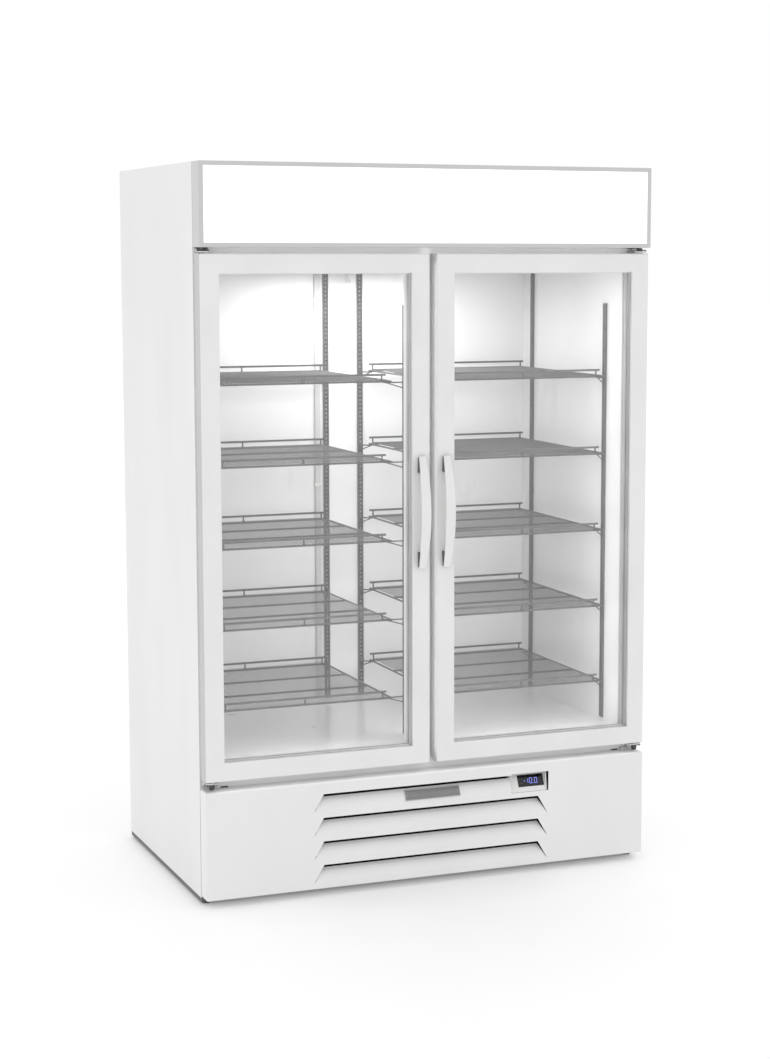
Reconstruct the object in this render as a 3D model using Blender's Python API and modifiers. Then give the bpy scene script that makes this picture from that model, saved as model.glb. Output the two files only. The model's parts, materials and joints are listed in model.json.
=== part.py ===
"""Two-section glass door merchandiser: an upright refrigerated display cabinet with a lit sign on
top, two full-length glass doors, ten wire shelves on slotted pilasters and the refrigeration unit in
the base.

Metres, +Z up. X runs across the cabinet, the doors face -Y, and the origin is on the floor under
the centre of the whole object, handles included.
"""

import math

import bmesh
import bpy
from mathutils import Matrix, Vector

# Driving sizes
WIDTH = 1.320
HEIGHT = 2.000
CABINET_DEPTH = 0.758        # side panel, front edge to rear edge
DOOR_PROUD = 0.058           # door front ahead of the cabinet's face
HANDLE_PROUD = 0.040         # handle front ahead of the door front
HEADER_PROUD = 0.066
GRILLE_PROUD = 0.056
SHEET = 0.0012               # sheet metal
GAP = 0.0003                 # between pieces that touch

TOTAL_DEPTH = CABINET_DEPTH + DOOR_PROUD + HANDLE_PROUD
REAR_Y = TOTAL_DEPTH / 2
FACE_Y = REAR_Y - CABINET_DEPTH
DOOR_FRONT_Y = FACE_Y - DOOR_PROUD
HALF_WIDTH = WIDTH / 2
PANEL_INSIDE = HALF_WIDTH - SHEET - GAP      # how far pieces between the side panels reach
SIDE_PANEL_BOTTOM = 0.020

# Insulated box and its liner
BOX_BOTTOM = 0.333
INNER_HALF = 0.605
INNER_FLOOR = 0.390
INNER_REAR_Y = FACE_Y + 0.672
OPENING_TOP = 1.722
INNER_TOP = 1.935
LINTEL_DEPTH = 0.055

# Header with the lit sign
HEADER_BOTTOM = 1.777
HEADER_WALL = 0.004
SIGN_LIP = 0.012
SIGN_LIP_THICKNESS = 0.0025
SIGN_THICKNESS = 0.003
SIGN_LAMP_RADIUS = 0.013
SIGN_LAMP_LENGTH = 1.200
SIGN_LAMP_DEPTH = 0.036      # lamp's axis behind the header's front
LAMPHOLDER_HALF = 0.017

# Doors
DOOR_BOTTOM = 0.351
DOOR_TOP = 1.761
DOOR_OUTER = 0.658           # outer edge of each door, from the centre
DOOR_INNER = 0.0106          # inner edge of each door, from the centre
DOOR_PROFILE = 0.0515        # width of the frame profile around the glass
DOOR_REAR_GAP = 0.010        # between the door frame and the cabinet's face, where the gasket is
GLASS_THICKNESS = 0.024
GLASS_EDGE = 0.010           # how far the glass unit reaches into the frame
GLASS_FRONT_STEP = 0.010
GASKET_INSET = 0.020
GASKET_WIDTH = 0.014
PIN_INSET = 0.020            # hinge pin from the door's outer edge
PIN_FROM_FACE = 0.040
PIN_RADIUS = 0.005
PIN_CLEARANCE = 0.0003
PIN_DEPTH = 0.015
HINGE_WIDTH = 0.040
HINGE_NOSE = 0.012           # bracket's tongue ahead of the pin's axis

# Handles
HANDLE_LENGTH = 0.310
HANDLE_GAP_LENGTH = 0.210
HANDLE_END_PROUD = 0.010
HANDLE_THICKNESS = 0.008
HANDLE_WIDTH = 0.0285
HANDLE_END_WIDTH = 0.020

# Mullion between the doors
MULLION_HALF = 0.058
MULLION_PLATE = 0.028
MULLION_WEB_HALF = 0.020
MULLION_DEPTH = 0.112
MULLION_LAMP_HALF = 0.015
MULLION_LAMP_DEPTH = 0.022

# Pilasters and shelves
PILASTER_WIDTH = 0.0165
PILASTER_DEPTH = 0.0065
PILASTER_WALL = 0.0016
PILASTER_BOTTOM = 0.401
FRONT_PILASTER_TOP = 1.619
REAR_PILASTER_TOP = 1.715
FRONT_PILASTER_Y = FACE_Y + 0.100
SIDE_REAR_PILASTER_Y = FACE_Y + 0.598
CENTER_REAR_PILASTER_X = 0.055
SHELF_COUNT = 5
SHELF_LOWEST = 0.517
SHELF_PITCH = 0.2235
SHELF_THICKNESS = 0.006
SHELF_INNER = 0.072
SHELF_OUTER = 0.590
SHELF_FRONT_Y = FACE_Y + 0.070
SHELF_REAR_Y = FACE_Y + 0.642
SHELF_SLOTS = 7
SHELF_BORDER = 0.012
SHELF_ROD = 0.005
SHELF_STOP_INSET = 0.018     # ends of the stop rails from the shelf's sides
SHELF_POST_INSET = 0.010     # end posts from the ends of the stop rails
SHELF_POST_HALF = 0.002
SHELF_STOP_HEIGHT = 0.017

# Base and louvred panel
GRILLE_BOTTOM = 0.023
GRILLE_TOP = 0.323
GRILLE_BEND = 0.005
SILL_THICKNESS = 0.004
SILL_BOTTOM = 0.300
SILL_TOP = 0.349
LOUVRE_COUNT = 4
LOUVRE_PITCH = 0.0665
FIRST_LIP = 0.290            # height of the lip above the first louvre
LOUVRE_SLOT = 0.011          # slot height between the lip and the louvre's top edge
LOUVRE_OPENING = 0.052       # from the lip down to the louvre's foot
LOUVRE_RECESS = 0.018
LOUVRE_TOP_HALF = 0.324
LOUVRE_FOOT_HALF = 0.354
LOUVRE_END_GAP = 0.002       # between a louvre's end and the sheet beside it
LOUVRE_ROWS = 6
DISPLAY_LEFT = 0.241
DISPLAY_RIGHT = 0.3565
DISPLAY_BOTTOM = 0.238
DISPLAY_TOP = 0.293
DISPLAY_RECESS = 0.025       # how far the top of its sloping face lies behind the panel
DISPLAY_HOUSING = 0.036
DISPLAY_SIDE_GAP = 0.004
BADGE_WIDTH = 0.165
BADGE_HEIGHT = 0.030
BADGE_THICKNESS = 0.0014
BADGE_MIDDLE = 0.58          # its middle's height on the louvre, as a share
PAN_BOTTOM = 0.0065
PAN_TOP = 0.050
PAN_THICKNESS = 0.003
FOOT_RADIUS = 0.013
FOOT_STEM_RADIUS = 0.005
FOOT_STEM_TOP = 0.045
FOOT_NUT_RADIUS = 0.009
FOOT_NUT_HEIGHT = 0.008
FOOT_INSET = 0.0145          # foot's axis from the two sides of the pan's corner

# Refrigeration unit
UNIT_FLOOR = PAN_BOTTOM + PAN_THICKNESS + GAP
CONDENSER_WIDTH = 0.420
CONDENSER_DEPTH = 0.060
CONDENSER_HEIGHT = 0.250
CONDENSER_X = -0.120
CONDENSER_FRONT_Y = FACE_Y + 0.030
COIL_FINS = 26
FIN_PLATE = 0.004
CONDENSER_FAN_RADIUS = 0.095
SHROUD_THICKNESS = 0.004
SHROUD_GAP = 0.006
SHROUD_DEPTH = 0.050
FAN_HUB_RADIUS = 0.022
FAN_HUB_LENGTH = 0.022
FAN_BLADES = 5
FAN_BLADE_HALF = 0.028
FAN_PITCH = 26               # degrees
MOTOR_RADIUS = 0.036
MOTOR_LENGTH = 0.060
MOTOR_ARM_OUTER = 0.125
SHAFT_RADIUS = 0.004
COMPRESSOR_RADIUS = 0.092
COMPRESSOR_HEIGHT = 0.200
COMPRESSOR_DOME = 0.055
GROMMET_HEIGHT = 0.022
COMPRESSOR_X = 0.340
COMPRESSOR_Y = FACE_Y + 0.430
EVAPORATOR_FAN_RADIUS = 0.100
EVAPORATOR_COVER_Z = OPENING_TOP + 0.004
EVAPORATOR_WIDTH = 0.900
EVAPORATOR_DEPTH = 0.180
EVAPORATOR_HEIGHT = 0.130
OUTLET_PITCH = 0.150
OUTLET_HALF = 0.055

# Rear cover of the machine compartment
REAR_SLOT_ROWS = 6
REAR_SLOT_PITCH = 0.030
REAR_SLOT_HEIGHT = 0.010

for leftover in list(bpy.data.objects):
    bpy.data.objects.remove(leftover, do_unlink=True)

parts = bpy.data.collections.new("glass_door_merchandiser")
cutters = bpy.data.collections.new("cutters")
bpy.context.scene.collection.children.link(parts)
bpy.context.scene.collection.children.link(cutters)


def make_material(name, colour, roughness, metallic=0.0, alpha=1.0):
    made = bpy.data.materials.new(name)
    made.use_nodes = True
    shader = made.node_tree.nodes["Principled BSDF"]
    shader.inputs["Base Color"].default_value = (*colour, 1.0)
    shader.inputs["Roughness"].default_value = roughness
    shader.inputs["Metallic"].default_value = metallic
    shader.inputs["Alpha"].default_value = alpha
    return made


WHITE_PAINT = make_material("white_paint", (0.83, 0.83, 0.82), 0.35)
GREY_PAINT = make_material("grey_paint", (0.60, 0.60, 0.60), 0.45)
WHITE_PLASTIC = make_material("white_plastic", (0.80, 0.80, 0.79), 0.30)
FOAM = make_material("foam", (0.85, 0.78, 0.55), 0.9)
LINER_WHITE = make_material("liner_white", (0.80, 0.80, 0.80), 0.3)
SIGN_WHITE = make_material("sign_white", (0.95, 0.95, 0.95), 0.4)
LAMP_WHITE = make_material("lamp_white", (0.95, 0.95, 0.92), 0.3)
GLASS = make_material("glass", (0.85, 0.90, 0.90), 0.05, alpha=0.3)
GASKET = make_material("gasket", (0.35, 0.35, 0.36), 0.7)
EPOXY_GREY = make_material("epoxy_grey", (0.22, 0.22, 0.22), 0.45)
ZINC = make_material("zinc", (0.55, 0.55, 0.56), 0.35, metallic=1.0)
BASE_GREY = make_material("base_grey", (0.12, 0.12, 0.12), 0.5)
BLACK_PAINT = make_material("black_paint", (0.02, 0.02, 0.02), 0.4)
ALUMINIUM = make_material("aluminium", (0.70, 0.70, 0.72), 0.35, metallic=1.0)
BLACK_PLASTIC = make_material("black_plastic", (0.02, 0.02, 0.02), 0.3)
BADGE_GREY = make_material("badge_grey", (0.25, 0.25, 0.26), 0.4, metallic=0.6)


# ---- Shapes ------------------------------------------------------------------------------------

def add_object(name, mesh, material=None, location=(0, 0, 0), collection=parts):
    made = bpy.data.objects.new(name, mesh)
    made.location = location
    collection.objects.link(made)
    if material:
        mesh.materials.append(material)
    return made


def mesh_from(name, build):
    shape = bmesh.new()
    build(shape)
    bmesh.ops.recalc_face_normals(shape, faces=shape.faces)
    mesh = bpy.data.meshes.new(name)
    shape.to_mesh(mesh)
    shape.free()
    return mesh


def box(name, xs, ys, zs, material=None, bevel=0.0, collection=parts):
    """A box between two planes on each axis, with its origin at its centre."""
    size = Vector((xs[1] - xs[0], ys[1] - ys[0], zs[1] - zs[0]))
    centre = ((xs[0] + xs[1]) / 2, (ys[0] + ys[1]) / 2, (zs[0] + zs[1]) / 2)

    def build(shape):
        bmesh.ops.create_cube(shape, size=1.0)
        bmesh.ops.scale(shape, vec=size, verts=shape.verts)

    made = add_object(name, mesh_from(name, build), material, centre, collection)
    if bevel:
        add_bevel(made, bevel)
    return made


def add_bevel(made, width, segments=2):
    rounding = made.modifiers.new("rounded_edges", "BEVEL")
    rounding.width = width
    rounding.segments = segments
    rounding.limit_method = "ANGLE"


def cylinder(name, centre, axis, radius, length, material=None, sides=24, collection=parts):
    """A cylinder centred on a point, along an axis."""

    def build(shape):
        bmesh.ops.create_cone(
            shape, cap_ends=True, segments=sides, radius1=radius, radius2=radius, depth=length
        )

    made = add_object(name, mesh_from(name, build), material, centre, collection)
    made.rotation_euler = Vector(axis).to_track_quat("Z", "Y").to_euler()
    smooth(made)
    return made


def smooth(made, angle=35):
    made.data.shade_smooth()
    made.data.set_sharp_from_angle(angle=math.radians(angle))


def helper(made):
    """Turns an object into a cutter or a piece that is joined into another one."""
    made.hide_render = True
    made.display_type = "WIRE"
    for owner in list(made.users_collection):
        owner.objects.unlink(made)
    cutters.objects.link(made)
    return made


def combine(target, other, operation):
    helper(other)
    step = target.modifiers.new(f"{operation.lower()}_{other.name}", "BOOLEAN")
    step.operation = operation
    step.object = other
    return target


def cut(target, *others):
    for other in others:
        combine(target, other, "DIFFERENCE")
    return target


def join(target, *others):
    for other in others:
        combine(target, other, "UNION")
    return target


def turned(name, profile, centre, axis, material, steps=24):
    """A solid of revolution. The profile lists (radius, height) from top to bottom."""

    def build(shape):
        points = [shape.verts.new((radius, 0, height)) for radius, height in profile]
        for first, second in zip(points, points[1:]):
            shape.edges.new((first, second))

    made = add_object(name, mesh_from(name, build), material, centre)
    made.rotation_euler = Vector(axis).to_track_quat("Z", "Y").to_euler()
    spin = made.modifiers.new("turned", "SCREW")
    spin.steps = steps
    spin.render_steps = steps
    spin.use_merge_vertices = True
    spin.merge_threshold = 0.00001
    return made


def flat_outline(name, outlines, thickness, material, location, rotation=(0, 0, 0)):
    """A plate made from closed outlines in its own XY plane; outlines inside another one are holes."""
    curve = bpy.data.curves.new(name, "CURVE")
    curve.dimensions = "2D"
    curve.fill_mode = "BOTH"
    curve.extrude = thickness / 2
    for outline in outlines:
        spline = curve.splines.new("POLY")
        spline.points.add(len(outline) - 1)
        for point, (x, y) in zip(spline.points, outline):
            point.co = (x, y, 0, 1)
        spline.use_cyclic_u = True
    drawn = bpy.data.objects.new(name + "_outline", curve)
    parts.objects.link(drawn)
    bpy.context.view_layer.update()
    mesh = bpy.data.meshes.new_from_object(drawn.evaluated_get(bpy.context.evaluated_depsgraph_get()))
    bpy.data.objects.remove(drawn, do_unlink=True)
    shape = bmesh.new()
    shape.from_mesh(mesh)
    bmesh.ops.remove_doubles(shape, verts=shape.verts, dist=0.00001)
    bmesh.ops.recalc_face_normals(shape, faces=shape.faces)
    shape.to_mesh(mesh)
    shape.free()
    mesh.materials.clear()
    made = add_object(name, mesh, material, location)
    made.rotation_euler = rotation
    return made


def side_name(side):
    return "left" if side < 0 else "right"


def across(side, near, far):
    """X limits, lowest first, of a piece between two distances from the centre plane."""
    return tuple(sorted((side * near, side * far)))


# ---- Outer cabinet -----------------------------------------------------------------------------

def make_outer_panels():
    for side in (-1, 1):
        box(f"side_panel_{side_name(side)}", across(side, HALF_WIDTH - SHEET, HALF_WIDTH),
            (FACE_Y, REAR_Y), (SIDE_PANEL_BOTTOM, HEIGHT), WHITE_PAINT)
    box("top_panel", (-PANEL_INSIDE, PANEL_INSIDE), (FACE_Y, REAR_Y), (HEIGHT - SHEET, HEIGHT), GREY_PAINT)
    box("back_panel", (-PANEL_INSIDE, PANEL_INSIDE), (REAR_Y - SHEET, REAR_Y),
        (BOX_BOTTOM, HEIGHT - SHEET - GAP), GREY_PAINT)


def make_insulation():
    foam_x = INNER_HALF + SHEET + GAP
    foam_rear = INNER_REAR_Y + SHEET + GAP
    front = FACE_Y + SHEET + GAP
    foam = box("insulation_foam", (-PANEL_INSIDE, PANEL_INSIDE), (front, REAR_Y - SHEET - GAP),
               (BOX_BOTTOM, HEIGHT - SHEET - GAP), FOAM)
    main = box("foam_main_cutter", (-foam_x, foam_x), (FACE_Y - 0.02, foam_rear),
               (INNER_FLOOR - SHEET - GAP, OPENING_TOP + SHEET + GAP))
    upper = box("foam_upper_cutter", (-foam_x, foam_x), (FACE_Y + LINTEL_DEPTH - SHEET - GAP, foam_rear),
                (OPENING_TOP - 0.05, INNER_TOP + SHEET + GAP))
    cut(foam, main, upper)


def make_liner():
    """Thin skin inside the foam, with a flange that covers the foam's front all round."""
    outer_x = INNER_HALF + SHEET
    outer_rear = INNER_REAR_Y + SHEET
    liner = box("inner_liner", (-PANEL_INSIDE, PANEL_INSIDE), (FACE_Y, FACE_Y + SHEET),
                (BOX_BOTTOM, HEIGHT - SHEET - GAP), LINER_WHITE)
    main_shell = box("liner_main_shell", (-outer_x, outer_x), (FACE_Y + SHEET / 2, outer_rear),
                     (INNER_FLOOR - SHEET, OPENING_TOP + SHEET))
    upper_shell = box("liner_upper_shell", (-outer_x, outer_x),
                      (FACE_Y + LINTEL_DEPTH - SHEET, outer_rear), (OPENING_TOP - 0.05, INNER_TOP + SHEET))
    main_hollow = box("liner_main_hollow", (-INNER_HALF, INNER_HALF), (FACE_Y - 0.02, INNER_REAR_Y),
                      (INNER_FLOOR, OPENING_TOP))
    upper_hollow = box("liner_upper_hollow", (-INNER_HALF, INNER_HALF),
                       (FACE_Y + LINTEL_DEPTH, INNER_REAR_Y), (OPENING_TOP - 0.04, INNER_TOP))
    join(liner, main_shell, upper_shell)
    cut(liner, main_hollow, upper_hollow)


def make_mullion():
    """T-shaped post between the doors. Its web carries the two front centre pilasters and the lamp."""
    bottom = INNER_FLOOR + GAP
    top = OPENING_TOP - GAP
    web_rear = FACE_Y + MULLION_DEPTH
    mullion = box("center_mullion", (-MULLION_HALF, MULLION_HALF), (FACE_Y, FACE_Y + MULLION_PLATE),
                  (bottom, top), GREY_PAINT, bevel=0.002)
    web = box("mullion_web", (-MULLION_WEB_HALF, MULLION_WEB_HALF),
              (FACE_Y + MULLION_PLATE / 2, web_rear), (bottom, top))
    join(mullion, web)
    box("mullion_lamp", (-MULLION_LAMP_HALF, MULLION_LAMP_HALF),
        (web_rear + GAP, web_rear + MULLION_LAMP_DEPTH),
        (PILASTER_BOTTOM + 0.02, FRONT_PILASTER_TOP), LAMP_WHITE, bevel=0.006)


def make_header():
    """Sheet metal light box with a lip round the translucent sign panel."""
    front = FACE_Y - HEADER_PROUD
    rear = FACE_Y - GAP
    housing = box("sign_housing", (-HALF_WIDTH, HALF_WIDTH), (front, rear), (HEADER_BOTTOM, HEIGHT),
                  GREY_PAINT, bevel=0.003)
    sign_x = HALF_WIDTH - SIGN_LIP
    window = box("sign_window_cutter", (-sign_x, sign_x), (front - 0.01, front + 0.02),
                 (HEADER_BOTTOM + SIGN_LIP, HEIGHT - SIGN_LIP))
    hollow_x = HALF_WIDTH - HEADER_WALL
    hollow = box("sign_hollow_cutter", (-hollow_x, hollow_x),
                 (front + SIGN_LIP_THICKNESS, rear - HEADER_WALL),
                 (HEADER_BOTTOM + HEADER_WALL, HEIGHT - HEADER_WALL))
    cut(housing, window, hollow)

    margin = HEADER_WALL + GAP
    sign_front = front + SIGN_LIP_THICKNESS + GAP
    box("sign_panel", (-HALF_WIDTH + margin, HALF_WIDTH - margin),
        (sign_front, sign_front + SIGN_THICKNESS), (HEADER_BOTTOM + margin, HEIGHT - margin), SIGN_WHITE)
    lamp_y = front + SIGN_LAMP_DEPTH
    lamp_z = (HEADER_BOTTOM + HEIGHT) / 2
    lamp = cylinder("sign_lamp", (0, lamp_y, lamp_z), (1, 0, 0), SIGN_LAMP_RADIUS, SIGN_LAMP_LENGTH,
                    LAMP_WHITE, sides=16)
    for side in (-1, 1):
        end = SIGN_LAMP_LENGTH / 2
        holder = box(f"lampholder_{side_name(side)}", across(side, end - 0.015, end + 0.012),
                     (lamp_y - LAMPHOLDER_HALF, lamp_y + LAMPHOLDER_HALF + 0.005),
                     (lamp_z - LAMPHOLDER_HALF, lamp_z + LAMPHOLDER_HALF))
        join(lamp, holder)


# ---- Doors -------------------------------------------------------------------------------------

def make_door(side):
    name = side_name(side)
    pivot = bpy.data.objects.new(f"door_{name}_pivot", None)
    pivot.location = (side * (DOOR_OUTER - PIN_INSET), FACE_Y - PIN_FROM_FACE, 0)
    parts.objects.link(pivot)

    rear = FACE_Y - DOOR_REAR_GAP
    xs = across(side, DOOR_INNER, DOOR_OUTER)
    frame = box(f"door_frame_{name}", xs, (DOOR_FRONT_Y, rear), (DOOR_BOTTOM, DOOR_TOP), WHITE_PLASTIC,
                bevel=0.004)
    window_x = (xs[0] + DOOR_PROFILE, xs[1] - DOOR_PROFILE)
    window_z = (DOOR_BOTTOM + DOOR_PROFILE, DOOR_TOP - DOOR_PROFILE)
    window = box(f"door_window_cutter_{name}", window_x, (DOOR_FRONT_Y - 0.01, rear + 0.01), window_z)
    glass_front = DOOR_FRONT_Y + GLASS_FRONT_STEP
    glass_x = (window_x[0] - GLASS_EDGE, window_x[1] + GLASS_EDGE)
    glass_z = (window_z[0] - GLASS_EDGE, window_z[1] + GLASS_EDGE)
    groove = box(f"door_groove_cutter_{name}",
                 (glass_x[0] - GAP, glass_x[1] + GAP),
                 (glass_front - GAP, glass_front + GLASS_THICKNESS + GAP),
                 (glass_z[0] - GAP, glass_z[1] + GAP))
    cut(frame, window, groove)
    for end, height in (("bottom", DOOR_BOTTOM), ("top", DOOR_TOP)):
        bore = cylinder(f"door_bore_{end}_{name}", (pivot.location.x, pivot.location.y, height), (0, 0, 1),
                        PIN_RADIUS + PIN_CLEARANCE, 2 * PIN_DEPTH + 0.006, sides=20)
        cut(frame, bore)
    glass = box(f"door_glass_{name}", glass_x, (glass_front, glass_front + GLASS_THICKNESS), glass_z, GLASS)

    gasket_x = (xs[0] + GASKET_INSET, xs[1] - GASKET_INSET)
    gasket_z = (DOOR_BOTTOM + GASKET_INSET, DOOR_TOP - GASKET_INSET)
    gasket = box(f"door_gasket_{name}", gasket_x, (rear + GAP, FACE_Y - 2 * GAP), gasket_z, GASKET)
    hole = box(f"gasket_cutter_{name}", (gasket_x[0] + GASKET_WIDTH, gasket_x[1] - GASKET_WIDTH),
               (rear - 0.01, FACE_Y + 0.01), (gasket_z[0] + GASKET_WIDTH, gasket_z[1] - GASKET_WIDTH))
    cut(gasket, hole)

    handle = make_handle(f"door_handle_{name}", side * (DOOR_INNER + DOOR_PROFILE / 2))
    for piece in (frame, glass, gasket, handle):
        piece.parent = pivot
        piece.matrix_parent_inverse = Matrix.Translation(-pivot.location)


def bow(height, proud_end, proud_middle, half_length):
    """How far a bowed bar stands out at a height from its middle: an arc through its two ends."""
    rise = proud_middle - proud_end
    radius = (half_length ** 2 + rise ** 2) / (2 * rise)
    return proud_middle - radius + math.sqrt(radius ** 2 - height ** 2)


def make_handle(name, x):
    """Bowed bar on two solid ends, wider at the middle."""
    half = HANDLE_LENGTH / 2
    gap_half = HANDLE_GAP_LENGTH / 2
    outer_steps = 16
    inner_steps = 10

    def outer(height):
        return bow(height, HANDLE_END_PROUD, HANDLE_PROUD, half)

    outer_heights = [-half + 2 * half * step / outer_steps for step in range(outer_steps + 1)]
    outline = [(GAP, half), (GAP, gap_half)]
    inner_heights = [gap_half - 2 * gap_half * step / inner_steps for step in range(inner_steps + 1)]
    outline += [(outer(height) - HANDLE_THICKNESS, height) for height in inner_heights]
    outline += [(GAP, -gap_half), (GAP, -half)]
    outline += [(outer(height), height) for height in outer_heights]

    # The outline's X is the distance from the door and its Y the height.
    handle = flat_outline(name, [outline], HANDLE_WIDTH, WHITE_PLASTIC,
                          (x, DOOR_FRONT_Y, (DOOR_BOTTOM + DOOR_TOP) / 2),
                          (math.radians(90), 0, math.radians(-90)))
    for vertex in handle.data.vertices:
        along = abs(vertex.co.y) / half
        width = HANDLE_WIDTH + (HANDLE_END_WIDTH - HANDLE_WIDTH) * along ** 2
        vertex.co.z *= width / HANDLE_WIDTH
    add_bevel(handle, 0.0015)
    return handle


def make_hinges(side):
    """Bracket and pin under and over each door, fixed to the cabinet's face."""
    name = side_name(side)
    pin_x = side * (DOOR_OUTER - PIN_INSET)
    pin_y = FACE_Y - PIN_FROM_FACE
    tongue = 0.004
    washer = 0.0028
    plate_thickness = 0.0035
    xs = across(side, DOOR_OUTER - HINGE_WIDTH, DOOR_OUTER - 0.002)
    for end, door_edge, direction, plate_far, plate_rear in (
        ("bottom", DOOR_BOTTOM, 1, GRILLE_TOP + 0.005, FACE_Y - SILL_THICKNESS - GAP),
        ("top", DOOR_TOP, -1, HEADER_BOTTOM - GAP, FACE_Y - GAP),
    ):
        tongue_near = door_edge - direction * washer
        tongue_far = tongue_near - direction * tongue
        bracket = box(f"hinge_bracket_{end}_{name}", xs, (pin_y - HINGE_NOSE, plate_rear),
                      tuple(sorted((tongue_near, tongue_far))), ZINC)
        plate = box(f"hinge_plate_{end}_{name}", xs, (plate_rear - plate_thickness, plate_rear),
                    tuple(sorted((tongue_near - direction * 0.0005, plate_far))))
        pin_from = tongue_far + direction * 0.001
        pin_to = door_edge + direction * PIN_DEPTH
        pin = cylinder(f"hinge_pin_{end}_{name}", (pin_x, pin_y, (pin_from + pin_to) / 2), (0, 0, 1),
                       PIN_RADIUS, abs(pin_to - pin_from), sides=16)
        join(bracket, plate, pin)


# ---- Shelves and pilasters ---------------------------------------------------------------------

def make_pilaster(name, centre, facing, bottom, top):
    """Channel with its back on a wall and its open side towards that wall."""
    half = PILASTER_WIDTH / 2
    wall = PILASTER_WALL
    outline = [(-half, 0), (-half, PILASTER_DEPTH), (half, PILASTER_DEPTH), (half, 0),
               (half - wall, 0), (half - wall, PILASTER_DEPTH - wall),
               (-half + wall, PILASTER_DEPTH - wall), (-half + wall, 0)]
    turn = math.atan2(facing[1], facing[0]) - math.radians(90)
    flat_outline(name, [outline], top - bottom, EPOXY_GREY,
                 (centre[0], centre[1], (bottom + top) / 2), (0, 0, turn))


def make_pilasters():
    for side in (-1, 1):
        name = side_name(side)
        wall_x = side * (INNER_HALF - GAP)
        web_x = side * (MULLION_WEB_HALF + GAP)
        make_pilaster(f"pilaster_{name}_wall_front", (wall_x, FRONT_PILASTER_Y), (-side, 0),
                      PILASTER_BOTTOM, FRONT_PILASTER_TOP)
        make_pilaster(f"pilaster_{name}_wall_rear", (wall_x, SIDE_REAR_PILASTER_Y), (-side, 0),
                      PILASTER_BOTTOM, REAR_PILASTER_TOP)
        make_pilaster(f"pilaster_{name}_center_front", (web_x, FRONT_PILASTER_Y), (side, 0),
                      PILASTER_BOTTOM, FRONT_PILASTER_TOP)
        make_pilaster(f"pilaster_{name}_center_rear", (side * CENTER_REAR_PILASTER_X, INNER_REAR_Y - GAP),
                      (0, -1), PILASTER_BOTTOM, REAR_PILASTER_TOP)


def shelf_mesh():
    """Wire shelf as a slotted plate, with a raised stop rail along its front and rear edges."""
    half_x = (SHELF_OUTER - SHELF_INNER) / 2
    half_y = (SHELF_REAR_Y - SHELF_FRONT_Y) / 2
    border = SHELF_BORDER
    pitch = (2 * half_x - border) / SHELF_SLOTS
    shelf = box("shelf_pattern", (-half_x, half_x), (-half_y, half_y), (-SHELF_THICKNESS, 0))
    for index in range(SHELF_SLOTS):
        left = -half_x + border + pitch * index
        slot = box(f"shelf_slot_cutter_{index}", (left, left + pitch - border),
                   (-half_y + border, half_y - border), (-SHELF_THICKNESS - 0.01, 0.01))
        cut(shelf, slot)
    rail_half = half_x - SHELF_STOP_INSET
    rail_top = SHELF_STOP_HEIGHT
    for edge, rail_y in (("front", -half_y + SHELF_ROD), ("rear", half_y - SHELF_ROD)):
        ys = (rail_y - SHELF_ROD / 2, rail_y + SHELF_ROD / 2)
        join(shelf, box(f"shelf_{edge}_rail", (-rail_half, rail_half), ys, (rail_top - SHELF_ROD, rail_top)))
        for position in (-1, 0, 1):
            post_x = position * (rail_half - SHELF_POST_INSET)
            post = box(f"shelf_{edge}_post_{position + 1}",
                       (post_x - SHELF_POST_HALF, post_x + SHELF_POST_HALF),
                       (ys[0] + 0.0005, ys[1] - 0.0005), (-0.002, rail_top - 0.001))
            join(shelf, post)
    bpy.context.view_layer.update()
    mesh = bpy.data.meshes.new_from_object(shelf.evaluated_get(bpy.context.evaluated_depsgraph_get()))
    mesh.materials.clear()
    mesh.materials.append(EPOXY_GREY)
    helper(shelf)
    return mesh


def make_shelves():
    """Ten equal shelves, which share one mesh."""
    mesh = shelf_mesh()
    centre_x = (SHELF_INNER + SHELF_OUTER) / 2
    centre_y = (SHELF_FRONT_Y + SHELF_REAR_Y) / 2
    for side in (-1, 1):
        for index in range(SHELF_COUNT):
            shelf = bpy.data.objects.new(f"shelf_{side_name(side)}_{index + 1}", mesh)
            shelf.location = (side * centre_x, centre_y, SHELF_LOWEST + SHELF_PITCH * index)
            parts.objects.link(shelf)


# ---- Base --------------------------------------------------------------------------------------

def louvre_recess(fraction):
    """Depth of the pressing at a fraction of the louvre's height above its foot."""
    return LOUVRE_RECESS * fraction ** 2


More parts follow.
